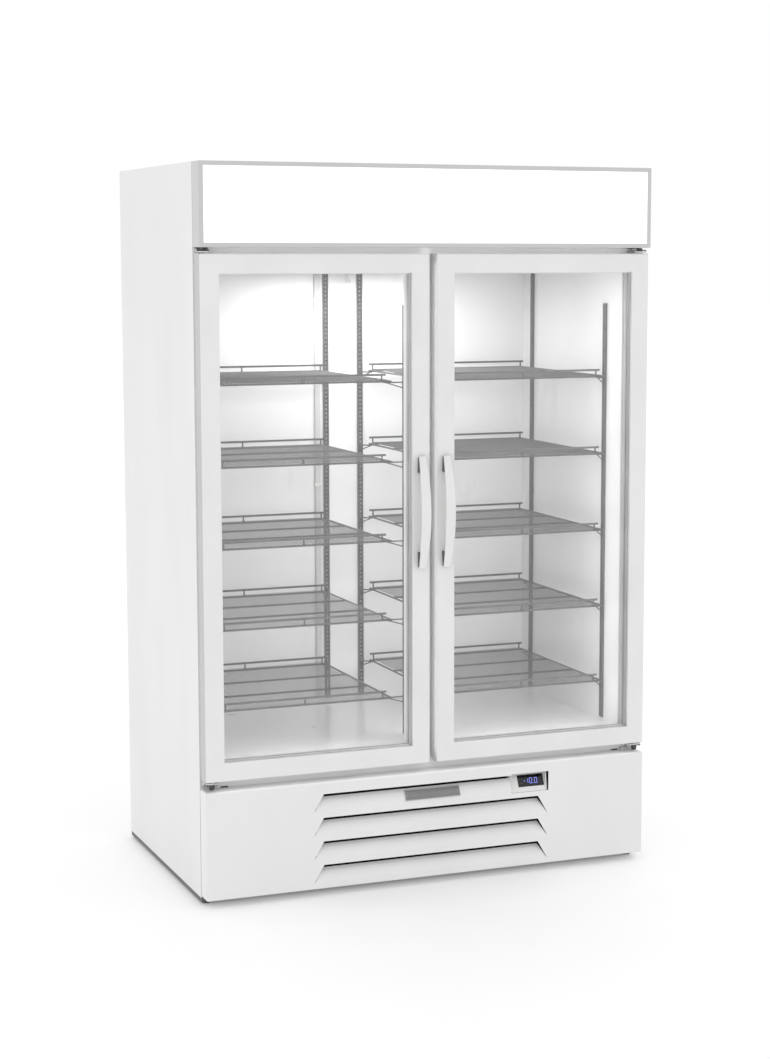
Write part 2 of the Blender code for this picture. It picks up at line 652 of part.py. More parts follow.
def louvred_sheet(shape):
    """Front sheet in the XZ plane at Y = 0; each louvre is cut free at its top and ends and pressed in."""
    half = HALF_WIDTH

    def vertex(x, y, z):
        return shape.verts.new((x, y, z))

    blade_height = LOUVRE_OPENING - LOUVRE_SLOT
    left_edge = [vertex(-half, 0, GRILLE_TOP)]
    right_edge = [vertex(half, 0, GRILLE_TOP)]
    inner_left = []
    inner_right = []
    row_above = None
    for louvre in range(LOUVRE_COUNT):
        lip = FIRST_LIP - LOUVRE_PITCH * louvre
        lip_row = (vertex(-LOUVRE_TOP_HALF, 0, lip), vertex(LOUVRE_TOP_HALF, 0, lip))
        if row_above:
            shape.faces.new((row_above[0], row_above[1], lip_row[1], lip_row[0]))
        rim = [lip_row]
        blade = []
        for row in range(LOUVRE_ROWS):
            down = row / (LOUVRE_ROWS - 1)
            z = lip - LOUVRE_SLOT - blade_height * down
            share = (lip - z) / LOUVRE_OPENING
            x = LOUVRE_TOP_HALF + (LOUVRE_FOOT_HALF - LOUVRE_TOP_HALF) * share
            rim.append((vertex(-x, 0, z), vertex(x, 0, z)))
            if row == LOUVRE_ROWS - 1:
                blade.append(rim[-1])
            else:
                depth = louvre_recess(1 - down)
                blade_x = x - LOUVRE_END_GAP
                blade.append((vertex(-blade_x, depth, z), vertex(blade_x, depth, z)))
        for upper, lower in zip(blade, blade[1:]):
            shape.faces.new((upper[0], upper[1], lower[1], lower[0]))
        inner_left += [pair[0] for pair in rim]
        inner_right += [pair[1] for pair in rim]
        row_above = rim[-1]
    left_edge.append(vertex(-half, 0, GRILLE_BOTTOM))
    right_edge.append(vertex(half, 0, GRILLE_BOTTOM))
    bottom_row = [vertex(end * LOUVRE_FOOT_HALF, 0, GRILLE_BOTTOM) for end in (-1, 1)]
    shape.faces.new((row_above[0], row_above[1], bottom_row[1], bottom_row[0]))
    shape.faces.new([left_edge[0]] + inner_left + [bottom_row[0], left_edge[1]])
    shape.faces.new([right_edge[0]] + inner_right + [bottom_row[1], right_edge[1]])
    shape.faces.new((left_edge[0], right_edge[0], inner_right[0], inner_left[0]))


def make_grille():
    """Pressed steel front panel, open at the back, with its four edges folded back."""
    return_depth = GRILLE_PROUD - SILL_THICKNESS - GAP

    def build(shape):
        louvred_sheet(shape)
        bmesh.ops.recalc_face_normals(shape, faces=shape.faces)

        def outside(vertex):
            return (abs(abs(vertex.co.x) - HALF_WIDTH) < 1e-6
                    or min(abs(vertex.co.z - GRILLE_TOP), abs(vertex.co.z - GRILLE_BOTTOM)) < 1e-6)

        border = [edge for edge in shape.edges if edge.is_boundary and all(map(outside, edge.verts))]
        folded = bmesh.ops.extrude_edge_only(shape, edges=border)
        moved = [item for item in folded["geom"] if isinstance(item, bmesh.types.BMVert)]
        bmesh.ops.translate(shape, vec=(0, return_depth, 0), verts=moved)
        corners = [edge for edge in shape.edges
                   if all(abs(abs(vertex.co.x) - HALF_WIDTH) < 1e-6 for vertex in edge.verts)
                   and edge.verts[0].co.y != edge.verts[1].co.y]
        bmesh.ops.bevel(shape, geom=border + corners, offset=GRILLE_BEND, segments=3, affect="EDGES",
                        profile=0.5)

    grille = add_object("grille_panel", mesh_from("grille_panel", build), WHITE_PAINT,
                        (0, FACE_Y - GRILLE_PROUD, 0))
    thickness = grille.modifiers.new("sheet", "SOLIDIFY")
    thickness.thickness = SHEET
    thickness.offset = -1
    return grille


def make_display():
    """Sloping display housing in its own cut-out at the right end of the first louvre."""
    front = FACE_Y - GRILLE_PROUD
    grille = bpy.data.objects["grille_panel"]
    cutout = box("display_cutout_cutter", (DISPLAY_LEFT, DISPLAY_RIGHT), (front - 0.01, front + 0.04),
                 (DISPLAY_BOTTOM, DISPLAY_TOP))
    cut(grille, cutout)
    height = DISPLAY_TOP - DISPLAY_BOTTOM - 2 * GAP
    wedge = [(0, 0), (DISPLAY_RECESS, height), (DISPLAY_HOUSING, height), (DISPLAY_HOUSING, 0)]
    left = DISPLAY_LEFT + GAP
    right = DISPLAY_RIGHT - DISPLAY_SIDE_GAP
    display = flat_outline("temperature_display", [wedge], right - left, WHITE_PLASTIC,
                           ((left + right) / 2, front, DISPLAY_BOTTOM + GAP),
                           (math.radians(90), 0, math.radians(90)))
    add_bevel(display, 0.001)


def make_badge():
    """Plain plate laid on the curved face of the first louvre."""
    blade_height = LOUVRE_OPENING - LOUVRE_SLOT
    foot = FIRST_LIP - LOUVRE_OPENING
    share = BADGE_MIDDLE
    slope = 2 * LOUVRE_RECESS * share / blade_height
    half = Vector((BADGE_WIDTH, BADGE_THICKNESS, BADGE_HEIGHT)) / 2
    badge = box("badge_plate", (-half.x, half.x), (-half.y, half.y), (-half.z, half.z), BADGE_GREY)
    badge.location = (0, FACE_Y - GRILLE_PROUD + louvre_recess(share) - BADGE_THICKNESS / 2 - 2 * GAP,
                      foot + blade_height * share)
    badge.rotation_euler = (-math.atan(slope), 0, 0)


def make_sill():
    box("door_sill", (-PANEL_INSIDE, PANEL_INSIDE), (FACE_Y - SILL_THICKNESS, FACE_Y - GAP),
        (SILL_BOTTOM, SILL_TOP), GREY_PAINT)


def make_base():
    """Folded pan under the whole cabinet, on four levelling feet near its corners."""
    pan_x = PANEL_INSIDE
    pan_y = (FACE_Y, REAR_Y - 0.002)
    floor_top = PAN_BOTTOM + PAN_THICKNESS
    pan = box("base_pan", (-pan_x, pan_x), pan_y, (PAN_BOTTOM, PAN_TOP), BASE_GREY)
    hollow = box("base_pan_cutter", (-pan_x + PAN_THICKNESS, pan_x - PAN_THICKNESS),
                 (pan_y[0] + PAN_THICKNESS, pan_y[1] - PAN_THICKNESS), (floor_top, PAN_TOP + 0.01))
    cut(pan, hollow)

    stem = FOOT_STEM_RADIUS
    chamfer = 0.001
    pad_top = PAN_BOTTOM - GAP
    nut = (floor_top + GAP, floor_top + GAP + FOOT_NUT_HEIGHT)
    profile = [(0, FOOT_STEM_TOP), (stem - chamfer, FOOT_STEM_TOP), (stem, FOOT_STEM_TOP - chamfer),
               (stem, nut[1]), (FOOT_NUT_RADIUS, nut[1]), (FOOT_NUT_RADIUS, nut[0]), (stem, nut[0]),
               (stem, pad_top), (FOOT_RADIUS - chamfer, pad_top), (FOOT_RADIUS, pad_top - chamfer),
               (FOOT_RADIUS, 0), (0, 0)]
    for side in (-1, 1):
        x = side * (pan_x - FOOT_INSET)
        for end, y in (("front", pan_y[0] + FOOT_INSET), ("rear", pan_y[1] - FOOT_INSET)):
            hole = cylinder(f"foot_hole_{end}_{side_name(side)}", (x, y, PAN_BOTTOM), (0, 0, 1),
                            stem + 0.0005, 0.03, sides=16)
            cut(pan, hole)
            turned(f"leveling_foot_{end}_{side_name(side)}", profile, (x, y, 0), (0, 0, 1), ZINC, steps=16)


# ---- Refrigeration unit ------------------------------------------------------------------------

def comb(width, depth, fins, plate):
    """Outline of a coil block whose front and rear faces are cut into fins."""
    pitch = (width - plate) / fins
    groove = 0.35 * depth
    edge = depth / 2
    front = [(-width / 2, edge)]
    rear = [(-width / 2, -edge)]
    for index in range(fins):
        left = -width / 2 + plate + pitch * index
        right = left + pitch - plate
        groove_shape = ((left, edge), (left, edge - groove), (right, edge - groove), (right, edge))
        front += groove_shape
        rear += [(x, -y) for x, y in groove_shape]
    front.append((width / 2, edge))
    rear.append((width / 2, -edge))
    return front + rear[::-1]


def make_fan_blade(name, centre, axis, radius):
    """Axial fan: a hub and flat blades set at a pitch."""
    hub = cylinder(name, centre, axis, FAN_HUB_RADIUS, FAN_HUB_LENGTH, BLACK_PLASTIC, sides=20)
    turn = hub.rotation_euler.to_matrix().to_4x4()
    inner = FAN_HUB_RADIUS * 0.75
    middle = Matrix.Translation((0, (inner + radius) / 2, 0))
    pitch = Matrix.Rotation(math.radians(FAN_PITCH), 4, "Y")
    for index in range(FAN_BLADES):
        spoke = Matrix.Rotation(2 * math.pi * index / FAN_BLADES, 4, "Z")
        blade = box(f"{name}_blade_{index}", (-FAN_BLADE_HALF, FAN_BLADE_HALF), (inner, radius),
                    (-0.0012, 0.0012))
        blade.matrix_world = Matrix.Translation(centre) @ turn @ spoke @ middle @ pitch
        join(hub, blade)


def make_motor(name, plate, motor_centre, axis, shaft_end):
    """Joins a motor can and its shaft to the plate that carries them."""
    can = cylinder(name + "_can", motor_centre, axis, MOTOR_RADIUS, MOTOR_LENGTH, sides=24)
    start = Vector(motor_centre)
    end = Vector(shaft_end)
    shaft = cylinder(name + "_shaft", (start + end) / 2, axis, SHAFT_RADIUS, (end - start).length, sides=12)
    join(plate, can, shaft)


def make_condensing_unit():
    """Condenser coil at the front, and behind it a shroud whose throat holds the fan."""
    bottom = UNIT_FLOOR
    top = bottom + CONDENSER_HEIGHT
    centre_z = (bottom + top) / 2
    half = CONDENSER_WIDTH / 2
    flat_outline("condenser_coil", [comb(CONDENSER_WIDTH, CONDENSER_DEPTH, COIL_FINS, FIN_PLATE)],
                 CONDENSER_HEIGHT, ALUMINIUM,
                 (CONDENSER_X, CONDENSER_FRONT_Y + CONDENSER_DEPTH / 2, centre_z))

    shroud_front = CONDENSER_FRONT_Y + CONDENSER_DEPTH + GAP
    shroud_rear = shroud_front + SHROUD_DEPTH
    shroud = box("condenser_fan_motor", (CONDENSER_X - half, CONDENSER_X + half),
                 (shroud_front, shroud_rear), (bottom, top), BLACK_PAINT)
    chamber_half = half - SHROUD_THICKNESS
    chamber = box("shroud_chamber_cutter", (CONDENSER_X - chamber_half, CONDENSER_X + chamber_half),
                  (shroud_front - 0.01, shroud_rear - SHROUD_THICKNESS),
                  (bottom + SHROUD_THICKNESS, top - SHROUD_THICKNESS))
    throat = cylinder("shroud_throat_cutter", (CONDENSER_X, shroud_rear, centre_z), (0, 1, 0),
                      CONDENSER_FAN_RADIUS + SHROUD_GAP, 0.05, sides=32)
    cut(shroud, chamber, throat)

    bar_half = 0.012
    bar_y = (shroud_rear + 0.040, shroud_rear + 0.043)
    bar = box("motor_bracket_condenser", (CONDENSER_X - MOTOR_ARM_OUTER, CONDENSER_X + MOTOR_ARM_OUTER),
              bar_y, (centre_z - bar_half, centre_z + bar_half))
    join(shroud, bar)
    for side in (-1, 1):
        near, far = across(side, MOTOR_ARM_OUTER - 0.013, MOTOR_ARM_OUTER)
        arm = box(f"motor_arm_condenser_{side_name(side)}", (CONDENSER_X + near, CONDENSER_X + far),
                  (shroud_rear - 0.002, bar_y[1] - 0.0005), (centre_z - 0.010, centre_z + 0.010))
        join(shroud, arm)
    fan_y = shroud_rear - 0.004
    make_motor("condenser_motor", shroud, (CONDENSER_X, shroud_rear + 0.062, centre_z), (0, 1, 0),
               (CONDENSER_X, fan_y + FAN_HUB_LENGTH / 2 + 2 * GAP, centre_z))
    make_fan_blade("condenser_fan_blade", (CONDENSER_X, fan_y, centre_z), (0, 1, 0), CONDENSER_FAN_RADIUS)


def make_compressor():
    """Hermetic compressor: a domed can on a foot plate, four grommets and a terminal box."""
    radius = COMPRESSOR_RADIUS
    base = UNIT_FLOOR + GROMMET_HEIGHT
    dome_base = base + COMPRESSOR_HEIGHT - COMPRESSOR_DOME
    dome = [(radius * math.sin(math.radians(angle)),
             dome_base + COMPRESSOR_DOME * math.cos(math.radians(angle)))
            for angle in (0, 18, 36, 54, 72, 90)]
    seam = (base + 0.098, base + 0.105)
    profile = dome + [(radius, seam[1]), (radius + 0.006, seam[1]), (radius + 0.006, seam[0]),
                      (radius, seam[0]), (radius, base + 0.025), (radius * 0.86, base), (0, base)]
    can = turned("compressor", profile, (COMPRESSOR_X, COMPRESSOR_Y, 0), (0, 0, 1), BLACK_PAINT, steps=28)
    plate_x, plate_y = 0.105, 0.075
    plate = box("compressor_feet", (COMPRESSOR_X - plate_x, COMPRESSOR_X + plate_x),
                (COMPRESSOR_Y - plate_y, COMPRESSOR_Y + plate_y), (base - 0.003, base + 0.003))
    join(can, plate)
    for left_right in (-1, 1):
        for front_rear in (-1, 1):
            grommet = cylinder(f"compressor_grommet_{left_right}_{front_rear}",
                               (COMPRESSOR_X + left_right * (plate_x - 0.015),
                                COMPRESSOR_Y + front_rear * (plate_y - 0.015),
                                (UNIT_FLOOR + base) / 2 + 0.001),
                               (0, 0, 1), 0.012, GROMMET_HEIGHT + 0.002, sides=12)
            join(can, grommet)
    terminal_box = box("compressor_terminal_box",
                       (COMPRESSOR_X + radius * 0.8, COMPRESSOR_X + radius + 0.030),
                       (COMPRESSOR_Y - 0.030, COMPRESSOR_Y + 0.030), (base + 0.040, base + 0.092))
    join(can, terminal_box)


def make_drain_pan():
    wall = 0.003
    xs = (-0.560, -0.360)
    ys = (FACE_Y + 0.330, FACE_Y + 0.640)
    zs = (UNIT_FLOOR, UNIT_FLOOR + 0.045)
    pan = box("drain_pan", xs, ys, zs, BLACK_PLASTIC)
    hollow = box("drain_pan_cutter", (xs[0] + wall, xs[1] - wall), (ys[0] + wall, ys[1] - wall),
                 (zs[0] + wall, zs[1] + 0.01))
    cut(pan, hollow)


def make_evaporator():
    """Coil and fan above the ceiling cover, at the top of the insulated box."""
    cover_z = (EVAPORATOR_COVER_Z, EVAPORATOR_COVER_Z + 0.0015)
    cover_y = (FACE_Y + LINTEL_DEPTH + 0.002, INNER_REAR_Y - 0.002)
    cover_x = INNER_HALF - 0.001
    fan_centre = Vector((0, FACE_Y + 0.230, EVAPORATOR_COVER_Z + 0.030))
    cover = box("evaporator_cover", (-cover_x, cover_x), cover_y, cover_z, LINER_WHITE)
    intake = cylinder("cover_intake_cutter", (0, fan_centre.y, cover_z[0]), (0, 0, 1),
                      EVAPORATOR_FAN_RADIUS + 0.006, 0.02, sides=32)
    cut(cover, intake)
    for index in range(-3, 4):
        middle = index * OUTLET_PITCH
        outlet = box(f"cover_outlet_cutter_{index + 3}", (middle - OUTLET_HALF, middle + OUTLET_HALF),
                     (INNER_REAR_Y - 0.060, INNER_REAR_Y - 0.035), (cover_z[0] - 0.01, cover_z[1] + 0.01))
        cut(cover, outlet)

    flat_outline("evaporator_coil", [comb(EVAPORATOR_WIDTH, EVAPORATOR_DEPTH, COIL_FINS, FIN_PLATE)],
                 EVAPORATOR_HEIGHT, ALUMINIUM,
                 (0, FACE_Y + 0.480, EVAPORATOR_COVER_Z + 0.020 + EVAPORATOR_HEIGHT / 2))

    bar_half = 0.012
    bar_outer = 0.130
    bar_z = (fan_centre.z + 0.032, fan_centre.z + 0.035)
    motor = box("evaporator_fan_motor", (-bar_outer, bar_outer),
                (fan_centre.y - bar_half, fan_centre.y + bar_half), bar_z, ZINC)
    for side in (-1, 1):
        leg = box(f"motor_arm_evaporator_{side_name(side)}", across(side, bar_outer - 0.012, bar_outer),
                  (fan_centre.y - 0.010, fan_centre.y + 0.010), (cover_z[1] + GAP, bar_z[1] - 0.0005))
        join(motor, leg)
    make_motor("evaporator_motor", motor, fan_centre + Vector((0, 0, 0.055)), (0, 0, 1),
               fan_centre + Vector((0, 0, FAN_HUB_LENGTH / 2 + 2 * GAP)))
    make_fan_blade("evaporator_fan_blade", fan_centre, (0, 0, 1), EVAPORATOR_FAN_RADIUS)


def make_rear_grille():
    """Slotted cover of the machine compartment, with the mains inlet's raised boss."""
    grille = box("rear_grille", (-PANEL_INSIDE, PANEL_INSIDE), (REAR_Y - SHEET, REAR_Y),
                 (PAN_TOP + GAP, BOX_BOTTOM - GAP), GREY_PAINT)
    for row in range(REAR_SLOT_ROWS):
        z = 0.110 + REAR_SLOT_PITCH * row
        for side in (-1, 1):
            slot = box(f"rear_slot_{row}_{side_name(side)}", across(side, 0.060, 0.460),
                       (REAR_Y - 0.01, REAR_Y + 0.01), (z, z + REAR_SLOT_HEIGHT))
            cut(grille, slot)
    inlet = box("mains_inlet", (0.520, 0.580), (REAR_Y - 0.030, REAR_Y - SHEET / 2), (0.100, 0.150))
    join(grille, inlet)


make_outer_panels()
make_insulation()
make_liner()
make_mullion()
make_header()
for door_side in (-1, 1):
    make_door(door_side)
    make_hinges(door_side)
make_pilasters()
make_shelves()
make_grille()
make_display()
make_badge()
make_sill()
make_base()
make_condensing_unit()
make_compressor()
make_drain_pan()
make_evaporator()
make_rear_grille()
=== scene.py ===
"""Looks of the two-section glass door merchandiser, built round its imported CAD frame.

Metres, +Z up. X runs across the cabinet, the doors face -Y, and the origin is on the floor. Places come
from the CAD nodes' boxes; the numbers below are the sizes of details that the CAD leaves out.
"""

import json
import math

import bmesh
import bpy
from mathutils import Matrix, Vector


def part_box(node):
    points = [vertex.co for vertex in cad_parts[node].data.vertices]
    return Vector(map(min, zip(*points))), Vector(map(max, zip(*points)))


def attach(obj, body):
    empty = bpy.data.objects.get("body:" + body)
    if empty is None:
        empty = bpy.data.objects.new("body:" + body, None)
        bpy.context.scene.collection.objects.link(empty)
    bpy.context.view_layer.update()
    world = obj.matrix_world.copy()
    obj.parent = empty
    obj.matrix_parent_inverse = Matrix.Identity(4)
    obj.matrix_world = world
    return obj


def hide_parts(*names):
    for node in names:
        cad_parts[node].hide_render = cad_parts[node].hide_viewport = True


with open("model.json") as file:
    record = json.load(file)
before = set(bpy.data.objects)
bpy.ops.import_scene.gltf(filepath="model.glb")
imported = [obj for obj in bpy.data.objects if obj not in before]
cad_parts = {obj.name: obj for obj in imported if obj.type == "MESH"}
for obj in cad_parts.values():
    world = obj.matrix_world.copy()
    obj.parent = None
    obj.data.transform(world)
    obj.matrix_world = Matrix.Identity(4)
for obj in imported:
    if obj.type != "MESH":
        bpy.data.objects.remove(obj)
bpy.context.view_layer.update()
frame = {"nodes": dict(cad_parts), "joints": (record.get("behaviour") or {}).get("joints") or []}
nodes = frame["nodes"]

# Camera
CAMERA_LENS = 73.591
CAMERA_SHIFT_X = -0.0425
CAMERA_AZIMUTH = -22.258
CAMERA_ELEVATION = 7.207
CAMERA_DISTANCE = 6.0263
CAMERA_TARGET = Vector((0.0132, -0.330, 0.9991))
FLOOR_REACH = 60.0

# Wire shelves
WIRE_RADIUS = 0.0013
WIRE_PITCH = 0.010
WIRE_MARGIN = 0.009          # first wire's axis from the shelf's side
WIRE_DROP = 0.0075           # how far the wires turn down over the front rod
ROD_RADIUS = 0.0028
STOP_RADIUS = 0.0030
POST_RADIUS = 0.0024
STOP_INSET_FRONT = 0.018
STOP_INSET_REAR = 0.002
POST_INSET = 0.010
GRID_HEIGHT = 0.006          # top of the wires above the shelf node's underside
WELD = 0.0004                # how far two welded wires sink into each other

# Pilasters
SLOT_PITCH = 0.0127
SLOT_HEIGHT = 0.0080
SLOT_WIDTH = 0.0042
PILASTER_WALL = 0.0014

# Mullion
MULLION_PLATE = 0.028        # depth of its front plate
MULLION_RADIUS = 0.012

# Doors
PANE_THICKNESS = 0.004
SPACER_WIDTH = 0.0125
HANDLE_GAP_HALF = 0.105
HANDLE_END_PROUD = 0.010
HANDLE_THICKNESS = 0.008
HANDLE_END_THICKNESS = 0.0040
HANDLE_END_WIDTH = 0.020
HANDLE_PAD_INSET = 0.0004
HANDLE_EDGE = 0.0014
GASKET_WIDTH = 0.014

# Front panel
DISPLAY_SLOPE = 0.025        # how far the top of the display's face leans back
FILTER_HALF = 0.372
FILTER_DEPTH = 0.012
FIGURE_BOTTOM = -0.0066
FIGURE_HEIGHT = 0.0162

# Refrigeration unit
FAN_BLADES = 5
MOTOR_RADIUS = 0.036
BRACKET_ROD = 0.0026
SHAFT_RADIUS = 0.0038
SHROUD_DEPTH = 0.0503
SHROUD_WALL = 0.0016
COMPRESSOR_PLATE_HALF = (0.105, 0.075)
COMPRESSOR_RADIUS = 0.092
COMPRESSOR_LIFT = 0.021      # foot plate's height above the grommets' underside

# Rear
HEM = 0.0006                 # how deep the sheets' faces lie behind the cabinet's rearmost plane
REAR_SCREW = (0.0048, 0.00055)
LOUVRE_SPANS = ((-0.460, -0.060), (0.060, 0.460))
LOUVRE_ROWS = 6
LOUVRE_BOTTOM = 0.110
LOUVRE_PITCH = 0.030
LOUVRE_HEIGHT = 0.010
RATING_PLATE = ((0.300, 1.500), (0.420, 1.570))
INLET_CENTRE = (0.550, 0.125)
INLET_HALF = (0.018, 0.015)
INLET_WALL = 0.0035
INLET_DEPTH = 0.026


# ---- Mesh building -----------------------------------------------------------------------------

def extruded(outline, low, high):
    """An outline in the XY plane, extruded along Z."""
    shape = bmesh.new()
    face = shape.faces.new([shape.verts.new((x, y, low)) for x, y in outline])
    top = bmesh.ops.extrude_face_region(shape, geom=[face])["geom"]
    moved = [item for item in top if isinstance(item, bmesh.types.BMVert)]
    bmesh.ops.translate(shape, vec=(0, 0, high - low), verts=moved)
    return shape


def soften(shape, offset, segments, least_angle, clamped):
    """Rounds the edges that turn by more than an angle."""
    bmesh.ops.recalc_face_normals(shape, faces=shape.faces)
    sharp = [edge for edge in shape.edges if edge.calc_face_angle(0) > math.radians(least_angle)]
    bmesh.ops.bevel(shape, geom=sharp, offset=offset, segments=segments, affect="EDGES", profile=0.5,
                    clamp_overlap=clamped)


class Solid:
    """Closed shapes gathered into one mesh."""

    def __init__(self):
        self.points = []
        self.faces = []

    def add(self, points, faces, matrix=None):
        start = len(self.points)
        self.points += [matrix @ Vector(point) for point in points] if matrix else points
        self.faces += [[start + index for index in face] for face in faces]

    def add_shape(self, shape, matrix=None):
        shape.verts.index_update()
        self.add([tuple(vertex.co) for vertex in shape.verts],
                 [[vertex.index for vertex in face.verts] for face in shape.faces], matrix)
        shape.free()

    def box(self, low, high, bevel=0.0, segments=2, matrix=None):
        low, high = Vector(low), Vector(high)
        shape = bmesh.new()
        bmesh.ops.create_cube(shape, size=1.0)
        bmesh.ops.scale(shape, vec=high - low, verts=shape.verts)
        bmesh.ops.translate(shape, vec=(low + high) / 2, verts=shape.verts)
        if bevel:
            bmesh.ops.bevel(shape, geom=shape.edges[:], offset=bevel, segments=segments,
                            affect="EDGES", profile=0.5)
        self.add_shape(shape, matrix)

    def prism(self, outline, low, high, bevel=0.0, segments=2, matrix=None):
        """An outline in the XY plane, extruded along Z."""
        shape = extruded(outline, low, high)
        if bevel:
            soften(shape, bevel, segments, 30, True)
        self.add_shape(shape, matrix)

    def rod(self, path, radius, sides=8, closed=False, matrix=None):
        """A round bar along a path of points."""
        path = [(matrix or Matrix()) @ Vector(point) for point in path]
        count = len(path)
        points = []
        previous = None
        for index, point in enumerate(path):
            before = path[index - 1] if index or closed else point
            after = path[(index + 1) % count] if index < count - 1 or closed else point
            along = (after - before).normalized()
            if previous is None:
                side = along.orthogonal().normalized()
            else:
                side = (previous - along * previous.dot(along)).normalized()
            previous = side
            other = along.cross(side)
            for step in range(sides):
                angle = 2 * math.pi * step / sides
                points.append(tuple(point + radius * (math.cos(angle) * side + math.sin(angle) * other)))
        faces = []
        for index in range(count if closed else count - 1):
            near, far = index * sides, (index + 1) % count * sides
            for step in range(sides):
                right = (step + 1) % sides
                faces.append([near + step, near + right, far + right, far + step])
        if not closed:
            faces += [list(range(sides))[::-1], list(range((count - 1) * sides, count * sides))]
        self.add(points, faces)

    def turned(self, profile, matrix, steps=24):
        """A solid of revolution about Z. The profile lists (radius, height)."""
        points, faces, rings = [], [], []
        for radius, height in profile:
            if radius < 1e-7:
                rings.append([len(points)] * steps)
                points.append((0, 0, height))
            else:
                rings.append(list(range(len(points), len(points) + steps)))
                points += [(x, y, height) for x, y in circle(radius, steps)]
        closed = profile[0][0] > 1e-7 and profile[-1][0] > 1e-7
        pairs = list(zip(rings, rings[1:])) + ([(rings[-1], rings[0])] if closed else [])
        for near, far in pairs:
            for step in range(steps):
                right = (step + 1) % steps
                corners = dict.fromkeys((near[step], near[right], far[right], far[step]))
                if len(corners) > 2:
                    faces.append(list(corners))
        self.add(points, faces, matrix)

    def surround(self, profile, low, high, matrix=None):
        """A closed profile swept round a rectangle in the XZ plane, with mitred corners. The profile
        lists (distance in from the rectangle, Y)."""
        points = []
        for x, z, right, up in ((low[0], low[1], 1, 1), (high[0], low[1], -1, 1),
                                (high[0], high[1], -1, -1), (low[0], high[1], 1, -1)):
            points += [(x + right * inset, y, z + up * inset) for inset, y in profile]
        size = len(profile)
        faces = []
        for corner in range(4):
            near, far = corner * size, (corner + 1) % 4 * size
            for step in range(size):
                after = (step + 1) % size
                faces.append([near + step, near + after, far + after, far + step])
        self.add(points, faces, matrix)

    def plate(self, columns, rows, is_open, thickness, matrix=None):
        """A plate in the XZ plane cut into cells, from Y = 0 to the thickness, with some cells open."""
        wide, tall = len(columns), len(rows)
        points = [(x, y, z) for y in (0.0, thickness) for z in rows for x in columns]
        layer = wide * tall
        solid = {(i, j) for i in range(wide - 1) for j in range(tall - 1) if not is_open(i, j)}
        faces = []
        for i, j in solid:
            a = j * wide + i
            corners = [a, a + 1, a + 1 + wide, a + wide]
            faces.append(corners)
            faces.append([index + layer for index in corners[::-1]])
            for near, (first, second) in (((i, j - 1), (a, a + 1)),
                                          ((i + 1, j), (a + 1, a + 1 + wide)),
                                          ((i, j + 1), (a + 1 + wide, a + wide)),
                                          ((i - 1, j), (a + wide, a))):
                if near not in solid:
                    faces.append([second, first, first + layer, second + layer])
        used = sorted({index for face in faces for index in face})
        place = {index: position for position, index in enumerate(used)}
        self.add([points[index] for index in used],
                 [[place[index] for index in face] for face in faces], matrix)

    def shell(self, outer, inner):
        """A closed skin between two stacks of rings, all with equally many points."""
        count, total = len(outer[0]), len(outer) * len(outer[0])
        faces = []
        for ring in range(len(outer) - 1):
            for step in range(count):
                a, b = ring * count + step, ring * count + (step + 1) % count
                faces.append([a, b, b + count, a + count])
                faces.append([total + a + count, total + b + count, total + b, total + a])
        for base in (0, total - count):
            for step in range(count):
                a, b = base + step, base + (step + 1) % count
                faces.append([a, b, total + b, total + a])
        self.add([point for ring in outer + inner for point in ring], faces)

    def mesh(self, name, material, smooth_angle=35):
        made = bpy.data.meshes.new(name)
        made.from_pydata([tuple(point) for point in self.points], [], self.faces)
        made.materials.append(material)
        shape = bmesh.new()
        shape.from_mesh(made)
        bmesh.ops.recalc_face_normals(shape, faces=shape.faces)
        shape.to_mesh(made)
        shape.free()
        made.shade_smooth()
        made.set_sharp_from_angle(angle=math.radians(smooth_angle))
        return made

    def place(self, name, material, slot, replaces=(), body="cabinet", smooth_angle=35):
        """Makes the shapes a piece that rides on a body and stands for the CAD nodes it replaces."""
        put(name, self.mesh(name, material, smooth_angle), body, replaces)


def put(name, mesh, body, replaces=(), location=(0, 0, 0), turn=0.0):
    """Places a mesh as a piece on a body."""
    piece = bpy.data.objects.new(name, mesh)
    piece.location = location
    piece.rotation_euler = (0, 0, turn)
    bpy.context.scene.collection.objects.link(piece)
    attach(piece, body)
    if replaces:
        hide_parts(*replaces)


def circle(radius, steps, x=0.0, y=0.0):
    angles = [2 * math.pi * step / steps for step in range(steps)]
    return [(x + radius * math.cos(angle), y + radius * math.sin(angle)) for angle in angles]


def rounded_path(corners, radius, steps=4):
    """A path through its corners with each inner corner rounded off."""
    corners = [Vector(corner) for corner in corners]
    path = [corners[0]]
    for before, corner, after in zip(corners, corners[1:], corners[2:]):
        start = corner + (before - corner).normalized() * radius
        end = corner + (after - corner).normalized() * radius
        for step in range(steps + 1):
            share = step / steps
            path.append((1 - share) ** 2 * start + 2 * share * (1 - share) * corner + share ** 2 * end)
    return path + [corners[-1]]


def aimed(place, axis):
    """A matrix that carries +Z to an axis at a place."""
    return Matrix.Translation(place) @ Vector(axis).to_track_quat("Z", "Y").to_matrix().to_4x4()


def sloped(place, tilt):
    """A matrix for a face that leans back by a tilt: X across, Y into the face, Z up along it."""
    return Matrix.Translation(place) @ Matrix.Rotation(-tilt, 4, "X")


def add_screw(solid, place, axis, radius=0.0038, height=0.0022):
    """A pan head with a recess for the driver, on a face that looks along the axis."""
    recess = 0.42 * radius
    profile = [(0, 0.35 * height), (0.85 * recess, 0.35 * height), (recess, 0.94 * height),
               (1.5 * recess, height), (0.86 * radius, 0.62 * height), (radius, 0.2 * height),
               (radius, -0.0002), (0, -0.0002)]
    solid.turned(profile, aimed(place, axis), steps=18)


# Carries an outline given as (Y, Z) and spread along X.
UPRIGHT = Matrix(((0, 0, 1, 0), (1, 0, 0, 0), (0, 1, 0, 0), (0, 0, 0, 1)))


def side_name(side):
    return "left" if side < 0 else "right"


